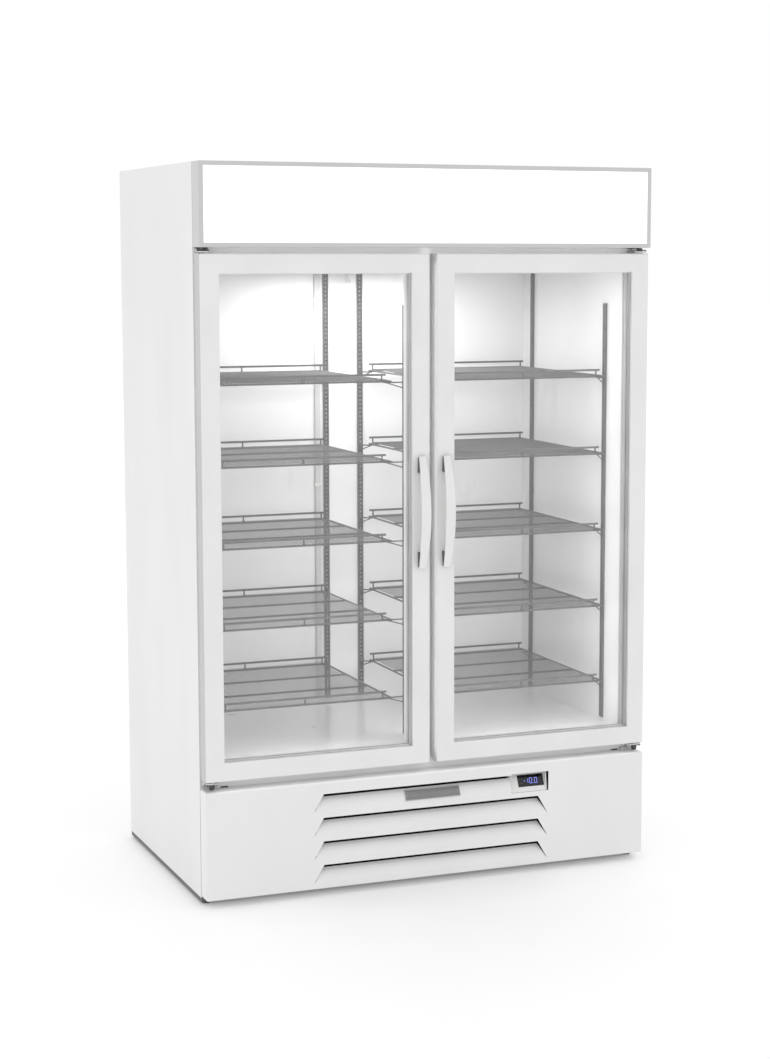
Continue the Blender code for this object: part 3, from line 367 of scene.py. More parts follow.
# ---- Materials ---------------------------------------------------------------------------------

class Finish:
    """A Principled material with its node tree at hand."""

    def __init__(self, name, colour, roughness, metallic=0.0, **sockets):
        self.material = bpy.data.materials.new(name)
        self.material.use_nodes = True
        self.tree = self.material.node_tree
        self.shader = self.tree.nodes["Principled BSDF"]
        self.shader.inputs["Base Color"].default_value = (*colour, 1.0)
        self.shader.inputs["Roughness"].default_value = roughness
        self.shader.inputs["Metallic"].default_value = metallic
        for socket, value in sockets.items():
            self.shader.inputs[socket.replace("_", " ")].default_value = value
        self.colour = colour
        self.roughness = roughness
        self.coordinates = self.node("ShaderNodeTexCoord").outputs["Object"]

    def node(self, kind, **settings):
        made = self.tree.nodes.new(kind)
        for name, value in settings.items():
            setattr(made, name, value)
        return made

    def link(self, source, target):
        self.tree.links.new(source, target)

    def stretched(self, scale):
        """Object coordinates scaled by a different amount on each axis."""
        mapping = self.node("ShaderNodeMapping")
        self.link(self.coordinates, mapping.inputs["Vector"])
        mapping.inputs["Scale"].default_value = scale
        return mapping.outputs["Vector"]

    def noise(self, scale, detail=3.0, vector=None):
        made = self.node("ShaderNodeTexNoise")
        made.inputs["Scale"].default_value = scale
        made.inputs["Detail"].default_value = detail
        self.link(vector or self.coordinates, made.inputs["Vector"])
        return made.outputs["Fac"]

    def cells(self, scale):
        made = self.node("ShaderNodeTexVoronoi")
        made.inputs["Scale"].default_value = scale
        self.link(self.coordinates, made.inputs["Vector"])
        return made

    def ranged(self, source, low, high, from_low=0.3, from_high=0.7):
        made = self.node("ShaderNodeMapRange")
        for socket, value in (("From Min", from_low), ("From Max", from_high), ("To Min", low),
                              ("To Max", high)):
            made.inputs[socket].default_value = value
        self.link(source, made.inputs["Value"])
        return made.outputs["Result"]

    def math(self, operation, first, second):
        made = self.node("ShaderNodeMath", operation=operation)
        for socket, value in zip(made.inputs, (first, second)):
            if isinstance(value, (int, float)):
                socket.default_value = value
            else:
                self.link(value, socket)
        return made.outputs["Value"]

    def vary_colour(self, source, other, low=0.35, high=0.65):
        """Drifts from the finish's own colour to another one as the source rises."""
        ramp = self.node("ShaderNodeValToRGB")
        ramp.color_ramp.elements[0].position = low
        ramp.color_ramp.elements[1].position = high
        ramp.color_ramp.elements[0].color = (*self.colour, 1.0)
        ramp.color_ramp.elements[1].color = (*other, 1.0)
        self.link(source, ramp.inputs["Fac"])
        self.link(ramp.outputs["Color"], self.shader.inputs["Base Color"])

    def vary_roughness(self, source, spread):
        self.link(self.ranged(source, self.roughness - spread, self.roughness + spread),
                  self.shader.inputs["Roughness"])

    def bump(self, height, distance, strength=1.0):
        made = self.node("ShaderNodeBump")
        made.inputs["Distance"].default_value = distance
        made.inputs["Strength"].default_value = strength
        self.link(height, made.inputs["Height"])
        self.link(made.outputs["Normal"], self.shader.inputs["Normal"])


def scaled(colour, share):
    return tuple(channel * share for channel in colour)


def painted(name, colour, roughness, coat=0.25, peel=420.0, peel_depth=0.00006, dust=0.965):
    """Baked enamel on sheet steel: fine orange peel, faint smears in the gloss and a little dust."""
    finish = Finish(name, colour, roughness, Coat_Weight=coat, Coat_Roughness=0.12)
    smears = finish.noise(5.0, 4.0, finish.stretched((1.0, 1.0, 0.35)))
    fine = finish.noise(peel, 2.0)
    finish.vary_colour(smears, scaled(colour, dust), 0.40, 0.75)
    finish.vary_roughness(smears, 0.06)
    finish.bump(fine, peel_depth)
    return finish.material


def moulded(name, colour, roughness, grain=900.0, depth=0.00004, shade=0.96):
    """Moulded or extruded plastic with a fine grain."""
    finish = Finish(name, colour, roughness)
    drift = finish.noise(7.0, 3.0)
    grains = finish.noise(grain, 2.0)
    finish.vary_colour(drift, scaled(colour, shade), 0.40, 0.70)
    finish.vary_roughness(finish.noise(60.0, 3.0), 0.05)
    finish.bump(grains, depth)
    return finish.material


def brushed(name, colour, roughness, stretch=(4.0, 600.0, 600.0), depth=0.00002):
    """Metal with fine lines along one axis, the one that is stretched least."""
    finish = Finish(name, colour, roughness, metallic=1.0)
    lines = finish.noise(1.0, 4.0, finish.stretched(stretch))
    finish.vary_colour(lines, scaled(colour, 0.82), 0.35, 0.70)
    finish.vary_roughness(lines, 0.08)
    finish.bump(lines, depth)
    return finish.material


def plated(name, colour, roughness):
    """Zinc plate: cloudy patches in colour and gloss, with a fine tooth."""
    finish = Finish(name, colour, roughness, metallic=1.0)
    clouds = finish.noise(90.0, 4.0)
    finish.vary_colour(clouds, scaled(colour, 0.72), 0.35, 0.70)
    finish.vary_roughness(clouds, 0.10)
    finish.bump(finish.noise(1500.0, 2.0), 0.00002)
    return finish.material


def spangled(name, colour, roughness):
    """Galvanised sheet: crystals of differing tone, a few millimetres to a centimetre across."""
    finish = Finish(name, colour, roughness, metallic=0.85)
    crystals = finish.cells(95.0)
    tone = finish.node("ShaderNodeSeparateColor")
    finish.link(crystals.outputs["Color"], tone.inputs["Color"])
    finish.vary_colour(tone.outputs["Red"], scaled(colour, 0.74), 0.1, 0.9)
    finish.vary_roughness(tone.outputs["Green"], 0.10)
    finish.bump(finish.noise(500.0, 2.0), 0.00003)
    return finish.material


def coated_wire(name, colour, roughness):
    """Epoxy coat on wire: smooth, slightly uneven, with a few thin spots."""
    finish = Finish(name, colour, roughness, Coat_Weight=0.35, Coat_Roughness=0.18)
    uneven = finish.noise(45.0, 3.0)
    finish.vary_colour(uneven, scaled(colour, 1.35), 0.42, 0.75)
    finish.vary_roughness(uneven, 0.08)
    finish.bump(finish.noise(700.0, 3.0), 0.00012)
    return finish.material


def rubbery(name, colour, roughness):
    """Soft rubber or vinyl with a pale bloom."""
    finish = Finish(name, colour, roughness)
    bloom = finish.noise(14.0, 4.0)
    finish.vary_colour(bloom, scaled(colour, 1.25), 0.40, 0.75)
    finish.vary_roughness(bloom, 0.08)
    finish.bump(finish.noise(1200.0, 2.0), 0.00004)
    return finish.material


def foamed(name, colour):
    """Open foam with small cells."""
    finish = Finish(name, colour, 0.9)
    cells = finish.cells(450.0)
    finish.vary_colour(finish.noise(20.0, 4.0), scaled(colour, 0.80), 0.3, 0.7)
    finish.bump(cells.outputs["Distance"], 0.0008)
    return finish.material


def glowing(name, colour, strength, mottle=0.03):
    """A translucent diffuser lit from behind. The mottle is how much of its glow drifts."""
    finish = Finish(name, colour, 0.4, Emission_Strength=strength)
    drift = finish.noise(3.0, 2.0)
    ramp = finish.node("ShaderNodeValToRGB")
    ramp.color_ramp.elements[0].color = (*scaled(colour, 1.0 - mottle), 1.0)
    ramp.color_ramp.elements[1].color = (*colour, 1.0)
    finish.link(drift, ramp.inputs["Fac"])
    finish.link(ramp.outputs["Color"], finish.shader.inputs["Emission Color"])
    finish.vary_colour(drift, scaled(colour, 0.97))
    finish.bump(finish.noise(1400.0, 2.0), 0.00003)
    return finish.material


def glazed(name, tint, mirrored):
    """Clear glass that light passes straight through, with a mirror share that rises at a slant."""
    finish = Finish(name, (0.98, 0.98, 0.98), 0.03)
    slant = finish.node("ShaderNodeLayerWeight").outputs["Facing"]
    share = finish.math("ADD", finish.math("MULTIPLY", finish.math("POWER", slant, 5.0), 1.0 - mirrored),
                        mirrored)
    clear = finish.node("ShaderNodeBsdfTransparent")
    clear.inputs["Color"].default_value = (*tint, 1.0)
    gloss = finish.node("ShaderNodeBsdfGlossy")
    finish.link(finish.ranged(finish.noise(6.0, 3.0), 0.02, 0.05), gloss.inputs["Roughness"])
    gloss.inputs["Color"].default_value = (0.97, 0.97, 0.97, 1.0)
    mixed = finish.node("ShaderNodeMixShader")
    finish.link(share, mixed.inputs["Fac"])
    finish.link(clear.outputs["BSDF"], mixed.inputs[1])
    finish.link(gloss.outputs["BSDF"], mixed.inputs[2])
    finish.link(mixed.outputs["Shader"], finish.tree.nodes["Material Output"].inputs["Surface"])
    finish.tree.nodes.remove(finish.shader)
    return finish.material


SIDE_PAINT = painted("side_paint", (0.785, 0.785, 0.783), 0.40)
GRILLE_PAINT = painted("grille_paint", (0.790, 0.790, 0.788), 0.38)
TRIM_PAINT = painted("trim_paint", (0.560, 0.560, 0.560), 0.42)
# The sill's grey, lightened to make up for the shade under the doors: partly its own colour, partly painted
# light.
SILL_GREY_AND_PAINTED_LIGHT = painted("sill_grey_and_painted_light", (0.640, 0.640, 0.640), 0.45)
BACK_STEEL = painted("back_paint", (0.56, 0.56, 0.56), 0.48, coat=0.1)
LINER = painted("liner_paint", (0.88, 0.88, 0.88), 0.32, coat=0.35, peel=300.0)
# The mullion lightened to white to lift the shade in the gap between the doors: painted light.
MULLION_WHITE_PAINTED_LIGHT = painted("mullion_white_painted_light", (0.86, 0.86, 0.86), 0.42)
DOOR_PLASTIC = moulded("door_plastic", (0.780, 0.780, 0.777), 0.36)
HANDLE_PLASTIC = moulded("handle_plastic", (0.78, 0.78, 0.775), 0.16, grain=1500.0, depth=0.00001)
# Darker grey on the door's side faces: painted shade.
DOOR_SIDE_PAINTED_SHADE = painted("door_edge_trim_paint", (0.50, 0.50, 0.50), 0.45)
PAD_PLASTIC = moulded("handle_pad_plastic", (0.10, 0.10, 0.105), 0.55)
BEZEL_PLASTIC = moulded("bezel_plastic", (0.76, 0.76, 0.75), 0.35)
BLACK_PLASTIC = moulded("black_plastic", (0.018, 0.018, 0.019), 0.42, shade=1.3)
WINDOW_PLASTIC = moulded("display_window_plastic", (0.006, 0.006, 0.009), 0.08, depth=0.000005, shade=1.2)
KEY_PLASTIC = moulded("key_plastic", (0.06, 0.06, 0.065), 0.35)
# Grey of the raceway strip, painted shade on the rear wall; also the ceiling fittings' own grey.
RACEWAY_SHADE_AND_FITTING_GREY = moulded("raceway_shade_and_fitting_grey", (0.62, 0.62, 0.62), 0.40)
BARREL_STEEL = plated("barrel_steel", (0.10, 0.10, 0.10), 0.40)
FOAM = foamed("polyurethane_foam", (0.78, 0.66, 0.36))
# Near-black foam behind the louvres: painted shade for the slots.
PAINTED_SHADE_FILTER_FOAM = foamed("filter_foam_painted_shade", (0.012, 0.012, 0.012))
GASKET_RUBBER = rubbery("gasket_rubber", (0.40, 0.40, 0.405), 0.6)
BLACK_RUBBER = rubbery("black_rubber", (0.03, 0.03, 0.03), 0.65)
EPOXY_WIRE = coated_wire("epoxy_wire", (0.078, 0.078, 0.079), 0.42)
EPOXY_STEEL = coated_wire("epoxy_steel", (0.085, 0.085, 0.086), 0.40)
ZINC = plated("zinc_plate", (0.66, 0.66, 0.67), 0.30)
CHROME = brushed("bright_steel", (0.74, 0.74, 0.75), 0.20)
ALUMINIUM = brushed("aluminium", (0.78, 0.78, 0.79), 0.34, (600.0, 600.0, 4.0))
FIN_ALUMINIUM = brushed("fin_aluminium", (0.72, 0.73, 0.74), 0.38, (900.0, 900.0, 30.0))
WHITE_WIRE = coated_wire("white_wire", (0.62, 0.62, 0.62), 0.40)
COPPER = plated("copper_tube", (0.80, 0.42, 0.26), 0.32)
GALVANISED = spangled("galvanised_steel", (0.58, 0.59, 0.60), 0.42)
BASE_PAINT = painted("base_paint", (0.10, 0.10, 0.101), 0.5, coat=0.1, dust=1.25)
BLACK_PAINT = painted("black_paint", (0.022, 0.022, 0.023), 0.38, dust=1.6)
BADGE_METAL = brushed("badge_metal", (0.27, 0.27, 0.275), 0.38, (6.0, 700.0, 700.0))
BADGE_RIM = brushed("badge_rim_metal", (0.42, 0.42, 0.43), 0.32, (6.0, 700.0, 700.0))
SIGN_GLOW = glowing("sign_diffuser", (1.0, 1.0, 1.0), 0.55, mottle=0.02)
LAMP_GLOW = glowing("lamp_diffuser", (1.0, 0.99, 0.97), 1.2)
DIGIT_GLOW = glowing("display_digits", (0.27, 0.32, 1.0), 1.05, mottle=0.15)
GLASS = glazed("door_glass", (0.992, 0.993, 0.992), 0.03)


# ---- CAD nodes that keep their shape ------------------------------------------------------------

def repaint(material, *names):
    for name in names:
        materials = nodes[name].data.materials
        for index in range(len(materials)):
            materials[index] = material


repaint(SIDE_PAINT, "side_panel_left", "side_panel_right")
repaint(GRILLE_PAINT, "grille_panel")
repaint(TRIM_PAINT, "sign_housing", "top_panel")
repaint(SILL_GREY_AND_PAINTED_LIGHT, "door_sill")
repaint(LINER, "inner_liner", "evaporator_cover")
repaint(FOAM, "insulation_foam")
repaint(SIGN_GLOW, "sign_panel")
repaint(LAMP_GLOW, "sign_lamp")
repaint(DOOR_PLASTIC, "door_frame_left", "door_frame_right")
repaint(BASE_PAINT, "base_pan")
repaint(BLACK_PLASTIC, "drain_pan")


# ---- Shelves, pilasters and clips ----------------------------------------------------------------

def shelf_mesh():
    """One wire shelf with its origin at the centre of its top."""
    low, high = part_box("shelf_right_1")
    half_x = (high.x - low.x) / 2
    half_y = (high.y - low.y) / 2
    stop_z = high.z - low.z - GRID_HEIGHT - STOP_RADIUS
    shelf = Solid()

    rod_z = -2 * WIRE_RADIUS - ROD_RADIUS + WELD
    front_y = -half_y + 2 * WIRE_RADIUS + ROD_RADIUS
    rear_y = half_y - 0.012
    wires = int((2 * half_x - 2 * WIRE_MARGIN) / WIRE_PITCH)
    first = -wires * WIRE_PITCH / 2
    for index in range(wires + 1):
        x = first + index * WIRE_PITCH
        wire = rounded_path([(x, half_y, -WIRE_RADIUS), (x, -half_y + WIRE_RADIUS, -WIRE_RADIUS),
                             (x, -half_y + WIRE_RADIUS, -WIRE_DROP)], 0.0028, 3)
        shelf.rod(wire, WIRE_RADIUS, sides=6)
    side_x = half_x - ROD_RADIUS
    span = rear_y - front_y
    for y in (front_y, front_y + span / 3, front_y + span * 2 / 3, rear_y):
        shelf.rod([(-side_x, y, rod_z), (side_x, y, rod_z)], ROD_RADIUS, sides=10)
    for x in (-side_x, side_x):
        shelf.rod([(x, half_y - ROD_RADIUS, rod_z), (x, -half_y + ROD_RADIUS, rod_z)], ROD_RADIUS, sides=10)

    for y, inset in ((-half_y + 0.005, STOP_INSET_FRONT), (half_y - 0.005, STOP_INSET_REAR)):
        stop_half = half_x - inset
        shelf.rod([(-stop_half, y, stop_z), (stop_half, y, stop_z)], STOP_RADIUS, sides=10)
        for x in (-stop_half + POST_INSET, 0, stop_half - POST_INSET):
            foot_y = y + math.copysign(0.0024, -y)
            shelf.rod([(x, foot_y, rod_z), (x, foot_y, stop_z)], POST_RADIUS, sides=8)
    return shelf.mesh("wire_shelf", EPOXY_WIRE)


def make_shelves():
    mesh = shelf_mesh()
    for side in ("left", "right"):
        for level in range(1, 6):
            node = f"shelf_{side}_{level}"
            low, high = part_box(node)
            centre = (low + high) / 2
            put(f"wire_shelf_{side}_{level}", mesh, "cabinet", [node],
                (centre.x, centre.y, low.z + GRID_HEIGHT))


def pilaster_mesh(length, width, depth):
    """A slotted channel standing on Z = 0, its back on the XZ plane and its face towards -Y."""
    count = int((length - SLOT_HEIGHT) / SLOT_PITCH)
    margin = (length - (count - 1) * SLOT_PITCH - SLOT_HEIGHT) / 2
    rows = [0.0]
    for index in range(count):
        rows += [margin + SLOT_PITCH * index, margin + SLOT_PITCH * index + SLOT_HEIGHT]
    rows.append(length)
    half = width / 2
    columns = [-half, -SLOT_WIDTH / 2, SLOT_WIDTH / 2, half]
    channel = Solid()
    channel.plate(columns, rows, lambda i, j: i == 1 and j % 2 == 1, PILASTER_WALL,
                  Matrix.Translation((0, -depth, 0)))
    for low, high in ((-half, -half + PILASTER_WALL), (half - PILASTER_WALL, half)):
        channel.box((low, -depth + PILASTER_WALL, 0), (high, 0, length))
    return channel.mesh("pilaster_channel", EPOXY_STEEL)


PILASTERS = {
    # name: the way its face looks
    "left_wall_front": (1, 0), "left_wall_rear": (1, 0),
    "right_wall_front": (-1, 0), "right_wall_rear": (-1, 0),
    "left_center_front": (-1, 0), "right_center_front": (1, 0),
    "left_center_rear": (0, -1), "right_center_rear": (0, -1),
}


def make_pilasters():
    for name, facing in PILASTERS.items():
        node = f"pilaster_{name}"
        low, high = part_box(node)
        centre = (low + high) / 2
        if facing[0]:
            back = Vector((low.x if facing[0] > 0 else high.x, centre.y, low.z))
            width, depth = high.y - low.y, high.x - low.x
        else:
            back = Vector((centre.x, high.y, low.z))
            width, depth = high.x - low.x, high.y - low.y
        turn = math.atan2(facing[1], facing[0]) + math.pi / 2
        put(f"slotted_pilaster_{name}", pilaster_mesh(high.z - low.z, width, depth), "cabinet",
            [node], back, turn)


def clip_mesh(reach, sideways=0.0):
    """A shelf clip: the hook plate on the pilaster's face at the origin, and an arm towards -Y whose
    top carries the shelf's rod."""
    clip = Solid()
    clip.box((-0.0045, -0.0022, -0.0210), (0.0045, -0.0002, 0.0040), 0.0006)
    clip.box((-0.0017, -0.0006, -0.0190), (0.0017, 0.0030, -0.0130), 0.0004)
    clip.box((-0.0017, -0.0006, -0.0060), (0.0017, 0.0030, 0.0000), 0.0004)
    tip = (sideways, -reach, -0.0018)
    clip.rod(rounded_path([(0, -0.0015, -0.0018), (sideways * 0.25, -reach * 0.4, -0.0018), tip,
                           (sideways, -reach - 0.003, 0.0030)], 0.002, 3), 0.0019, sides=8)
    clip.rod([(0, -0.0015, -0.0175), (sideways * 0.85, -reach * 0.85, -0.0030)], 0.0017, sides=8)
    return clip.mesh("shelf_clip", EPOXY_STEEL)


def make_clips():
    """Four clips carry each shelf, hooked into the pilasters just under its rods."""
    under_rods = 2 * WIRE_RADIUS + 2 * ROD_RADIUS - WELD
    shelf_low, shelf_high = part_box("shelf_right_1")
    for name, facing in PILASTERS.items():
        low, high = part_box(f"pilaster_{name}")
        centre = (low + high) / 2
        bank = name.split("_")[0]
        if facing[0]:
            face = low.x if facing[0] < 0 else high.x
            place = Vector((face, centre.y, 0))
            edge = shelf_low.x if "center" in name else shelf_high.x
            reach = abs(abs(face) - edge) + 0.012
            sideways = 0.0
        else:
            place = Vector((centre.x, low.y, 0))
            reach = low.y - shelf_high.y + 0.010
            sideways = math.copysign(shelf_low.x - abs(centre.x) + 0.010, centre.x)
        turn = math.atan2(facing[1], facing[0]) + math.pi / 2
        mesh = clip_mesh(reach, sideways)
        for level in range(1, 6):
            grid_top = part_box(f"shelf_{bank}_{level}")[0].z + GRID_HEIGHT
            put(f"shelf_clip_{name}_{level}", mesh, "cabinet",
                location=(place.x, place.y, grid_top - under_rods), turn=turn)


make_shelves()
make_pilasters()
make_clips()


# ---- Doors ---------------------------------------------------------------------------------------

def make_glass(name):
    """Two panes held apart by a spacer bar."""
    low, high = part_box(f"door_glass_{name}")
    for pane, front in (("outer", low.y), ("inner", high.y - PANE_THICKNESS)):
        solid = Solid()
        solid.box((low.x, front, low.z), (high.x, front + PANE_THICKNESS, high.z), 0.0006, 1)
        replaced = [f"door_glass_{name}"] if pane == "outer" else []
        solid.place(f"glass_pane_{pane}_{name}", GLASS, "glass", replaced, body=f"door_{name}")
    front, rear = low.y + PANE_THICKNESS, high.y - PANE_THICKNESS
    middle = (front + rear) / 2
    spacer = Solid()
    spacer.surround([(0.0012, front), (0.0090, front), (0.0090, middle - 0.002),
                     (SPACER_WIDTH, middle - 0.001), (SPACER_WIDTH, middle + 0.001),
                     (0.0090, middle + 0.002), (0.0090, rear), (0.0012, rear)],
                    (low.x, low.z), (high.x, high.z))
    spacer.place(f"glass_spacer_{name}", ALUMINIUM, "glass", body=f"door_{name}")


def make_gasket(name):
    """Magnetic door gasket: a base strip, a folded bellows and the magnet's flat pocket."""
    low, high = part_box(f"door_gasket_{name}")
    depth = high.y - low.y
    width = GASKET_WIDTH
    profile = []
    for inset, share in ((0.0005, 0.0), (0.0005, 0.16), (0.0030, 0.28), (0.0008, 0.44), (0.0008, 0.56),
                         (0.0006, 0.64), (0.0006, 0.94), (0.0014, 1.0), (width - 0.0014, 1.0),
                         (width - 0.0006, 0.94), (width - 0.0006, 0.64), (width - 0.0008, 0.56),
                         (width - 0.0008, 0.44), (width - 0.0030, 0.28), (width - 0.0005, 0.16),
                         (width - 0.0005, 0.0)):
        profile.append((inset, low.y + share * depth))
    gasket = Solid()
    gasket.surround(profile, (low.x, low.z), (high.x, high.z))
    gasket.place(f"magnetic_gasket_{name}", GASKET_RUBBER, "gasket", [f"door_gasket_{name}"],
                 f"door_{name}")


def bow(height, end, middle, half):
    """How far an arc through two ends and a middle stands out at a height from its middle."""
    rise = middle - end
    radius = (half ** 2 + rise ** 2) / (2 * rise)
    return middle - radius + math.sqrt(radius ** 2 - height ** 2)


def bowed_solid(outline, width_at, matrix):
    """A side outline (distance from the door, height) spread to a width that depends on the height, with
    its long edges rounded."""
    shape = extruded(outline, -0.5, 0.5)
    for vertex in shape.verts:
        vertex.co.z *= width_at(vertex.co.y)
    soften(shape, HANDLE_EDGE, 3, 50, False)
    solid = Solid()
    solid.add_shape(shape, matrix)
    return solid


def make_handle(name):
    """Bowed white bar, thin at its ends, on two dark wedge pads."""
    node = f"door_handle_{name}"
    low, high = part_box(node)
    centre = (low + high) / 2
    half = (high.z - low.z) / 2
    width = high.x - low.x
    proud = high.y - low.y

    def outer(height):
        return bow(height, HANDLE_END_PROUD, proud, half)

    def width_at(height):
        return width + (HANDLE_END_WIDTH - width) * abs(height / half) ** 2

    def stepped(start, end, steps):
        return [start + (end - start) * step / steps for step in range(steps + 1)]

    grip = HANDLE_GAP_HALF
    outline = []
    for thickness, start, end, steps in ((HANDLE_END_THICKNESS, half, grip + 0.004, 10),
                                         (HANDLE_THICKNESS, grip, -grip, 36),
                                         (HANDLE_END_THICKNESS, -grip - 0.004, -half, 10),
                                         (0.0, -half, half, 56)):
        outline += [(outer(height) - thickness, height) for height in stepped(start, end, steps)]
    # X is the distance from the door, Y the height.
    across = Matrix(((0, 0, 1, centre.x), (-1, 0, 0, high.y), (0, 1, 0, centre.z), (0, 0, 0, 1)))
    bar = bowed_solid(outline, width_at, across)
    bar.place(f"handle_bar_{name}", HANDLE_PLASTIC, "white_plastic", [node], f"door_{name}", 40)

    for end, where in ((-1, "bottom"), (1, "top")):
        heights = [end * height for height in stepped(grip + 0.005, half - 0.003, 10)]
        outline = [(0.0001, heights[-1]), (0.0001, heights[0])]
        outline += [(outer(height) - HANDLE_END_THICKNESS - 0.0001, height) for height in heights]
        pad = bowed_solid(outline, lambda height: width_at(height) - 2 * HANDLE_PAD_INSET, across)
        pad.place(f"handle_pad_{where}_{name}", PAD_PLASTIC, "black_plastic", (), f"door_{name}", 40)


def make_door_side_shade(name):
    """Grey strip round the outer edge of the door, painted shade on its side faces."""
    low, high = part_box(f"door_frame_{name}")
    trim = Solid()
    trim.surround([(-0.0003, high.y - 0.0015), (-0.0003, low.y + 0.0045), (0.0002, low.y + 0.0040),
                   (0.0006, low.y + 0.0045), (0.0006, high.y - 0.0015)], (low.x, low.z), (high.x, high.z))
    trim.place(f"door_edge_trim_{name}", DOOR_SIDE_PAINTED_SHADE, "grey_trim", body=f"door_{name}")


for door in ("left", "right"):
    make_glass(door)
    make_gasket(door)
    make_door_side_shade(door)
    make_handle(door)


# ---- Front panel: filter, display and badge --------------------------------------------------------

def make_shade_filter():
    """Washable foam filter in a frame, between the louvred panel and the condenser. Its near-black foam and
    frame are painted shade that makes the louvre slots read dark.
    """
    display_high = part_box("temperature_display")[1]
    front = display_high.y + 0.001
    rear = front + FILTER_DEPTH
    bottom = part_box("grille_panel")[0].z + 0.018
    top = display_high.z + 0.002
    filter_media_painted_shade = Solid()
    filter_media_painted_shade.box((-FILTER_HALF + 0.004, front + 0.002, bottom + 0.004),
                     (FILTER_HALF - 0.004, rear - 0.002, top - 0.004), 0.001)
    filter_media_painted_shade.place("filter_media_painted_shade", PAINTED_SHADE_FILTER_FOAM, "black_plastic")
    rim = Solid()
    rim.surround([(0, front), (0.007, front), (0.007, front + 0.0012), (0.0015, front + 0.0012),
                  (0.0015, rear - 0.0012), (0.007, rear - 0.0012), (0.007, rear), (0, rear)],
                 (-FILTER_HALF, bottom), (FILTER_HALF, top))
    rim.place("filter_frame", BLACK_PLASTIC, "black_plastic")


SEGMENTS = {"-": "g", "1": "bc", "0": "abcdef"}


def add_figure(solid, glyph, left, bottom, width, height, matrix):
    """A seven-segment figure on the XZ plane, its segments standing out towards -Y."""
    bar, space = 0.0014, 0.0002
    right, top, middle = left + width, bottom + height, bottom + height / 2
    areas = {"a": (left, top - bar, right, top), "g": (left, middle - bar / 2, right, middle + bar / 2),
             "d": (left, bottom, right, bottom + bar),
             "f": (left, middle, left + bar, top - bar), "b": (right - bar, middle, right, top - bar),
             "e": (left, bottom + bar, left + bar, middle), "c": (right - bar, bottom + bar, right, middle)}
    for segment in SEGMENTS[glyph]:
        x0, z0, x1, z1 = areas[segment]
        solid.box((x0 + space, -0.0004, z0 + space), (x1 - space, 0.0, z1 - space), 0.0001, 1, matrix)


def make_display():
    """Controller in a sloping bezel: a dark window with figures, two indicator lenses and two keys."""
    low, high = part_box("temperature_display")
    bezel = Solid()
    bezel.prism([(low.y, low.z), (low.y + DISPLAY_SLOPE, high.z), (high.y, high.z), (high.y, low.z)],
                low.x, high.x - 0.0034, 0.0016, 3, UPRIGHT)
    bezel.prism([(low.y + 0.0005, low.z), (low.y + 0.0070, high.z), (high.y, high.z), (high.y, low.z)],
                high.x - 0.0036, high.x, 0.0015, 3, UPRIGHT)
    bezel.place("display_bezel", BEZEL_PLASTIC, "white_plastic", ["temperature_display"])

    face = sloped(((low.x + high.x) / 2, low.y + DISPLAY_SLOPE / 2, (low.z + high.z) / 2),
                  math.atan2(DISPLAY_SLOPE, high.z - low.z))
    window = Solid()
    window.box((-0.0310, -0.0009, -0.0150), (0.0490, 0.0010, 0.0195), 0.0005, 2, face)
    window.place("display_window", WINDOW_PLASTIC, "black_plastic")
    figures = Solid()
    on_window = face @ Matrix.Translation((0, -0.0009, 0))
    for glyph, left, width in (("-", -0.0130, 0.0056), ("1", -0.0072, 0.0080), ("0", 0.0048, 0.0088),
                               ("0", 0.0204, 0.0088)):
        add_figure(figures, glyph, left, FIGURE_BOTTOM, width, FIGURE_HEIGHT, on_window)
    figures.box((0.0162, -0.0004, -0.0064), (0.0176, 0.0, -0.0050), 0.0001, 1, on_window)
    figures.place("display_figures", DIGIT_GLOW, "lamp_white")
    keys = Solid()
    for x in (-0.0250, -0.0185):
        keys.turned([(0, 0.0009), (0.0009, 0.0007), (0.0014, 0.0), (0, 0)],
                    on_window @ aimed((x, 0, 0.0070), (0, -1, 0)), steps=14)
        keys.box((x - 0.0022, -0.0004, -0.0060), (x + 0.0022, 0.0, -0.0030), 0.0002, 1, on_window)
    keys.place("display_keys", KEY_PLASTIC, "black_plastic")


def make_badge():
    """Blank brushed plate with a raised rim, a raised panel and two rivets, on the first louvre."""
    node = nodes["badge_plate"]
    largest = max(node.data.polygons, key=lambda polygon: polygon.area)
    normal = (node.matrix_world.to_3x3() @ largest.normal).normalized()
    normal *= -math.copysign(1, normal.y)
    low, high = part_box("badge_plate")
    tilt = math.atan2(normal.z, -normal.y)
    face = sloped((low + high) / 2, tilt)
    half_x = (high.x - low.x) / 2
    half_z = (high.z - low.z) / 2 / math.cos(tilt) - 0.0004
    plate = Solid()
    plate.box((-half_x, -0.0002, -half_z), (half_x, 0.0006, half_z), 0.0003, 2, face)
    plate.box((-half_x + 0.012, -0.0005, -half_z + 0.006), (half_x - 0.012, 0.0, half_z - 0.006), 0.0002, 2,
              face)
    plate.place("badge_blank", BADGE_METAL, "badge_grey", ["badge_plate"])
    rim = Solid()
    rim.surround([(0.0, -0.0007), (0.0018, -0.0007), (0.0022, -0.0001), (0.0, -0.0001)],
                 (-half_x, -half_z), (half_x, half_z), face)
    for x in (-half_x + 0.007, half_x - 0.007):
        rim.turned([(0, 0.0008), (0.0010, 0.0006), (0.0018, 0.0), (0, 0)],
                   face @ aimed((x, -0.0002, 0), (0, -1, 0)), steps=16)
    rim.place("badge_rim", BADGE_RIM, "badge_grey")


make_shade_filter()
make_display()
make_badge()


# ---- Hinges ----------------------------------------------------------------------------------------

def rounded_outline(low, high, radius, steps=5):
    """A rectangle in the XY plane with rounded corners."""
    points = []
    for x, y, start in ((high[0] - radius, high[1] - radius, 0), (low[0] + radius, high[1] - radius, 90),
                        (low[0] + radius, low[1] + radius, 180), (high[0] - radius, low[1] + radius, 270)):
        for step in range(steps + 1):
            angle = math.radians(start + 90 * step / steps)
            points.append((x + radius * math.cos(angle), y + radius * math.sin(angle)))
    return points


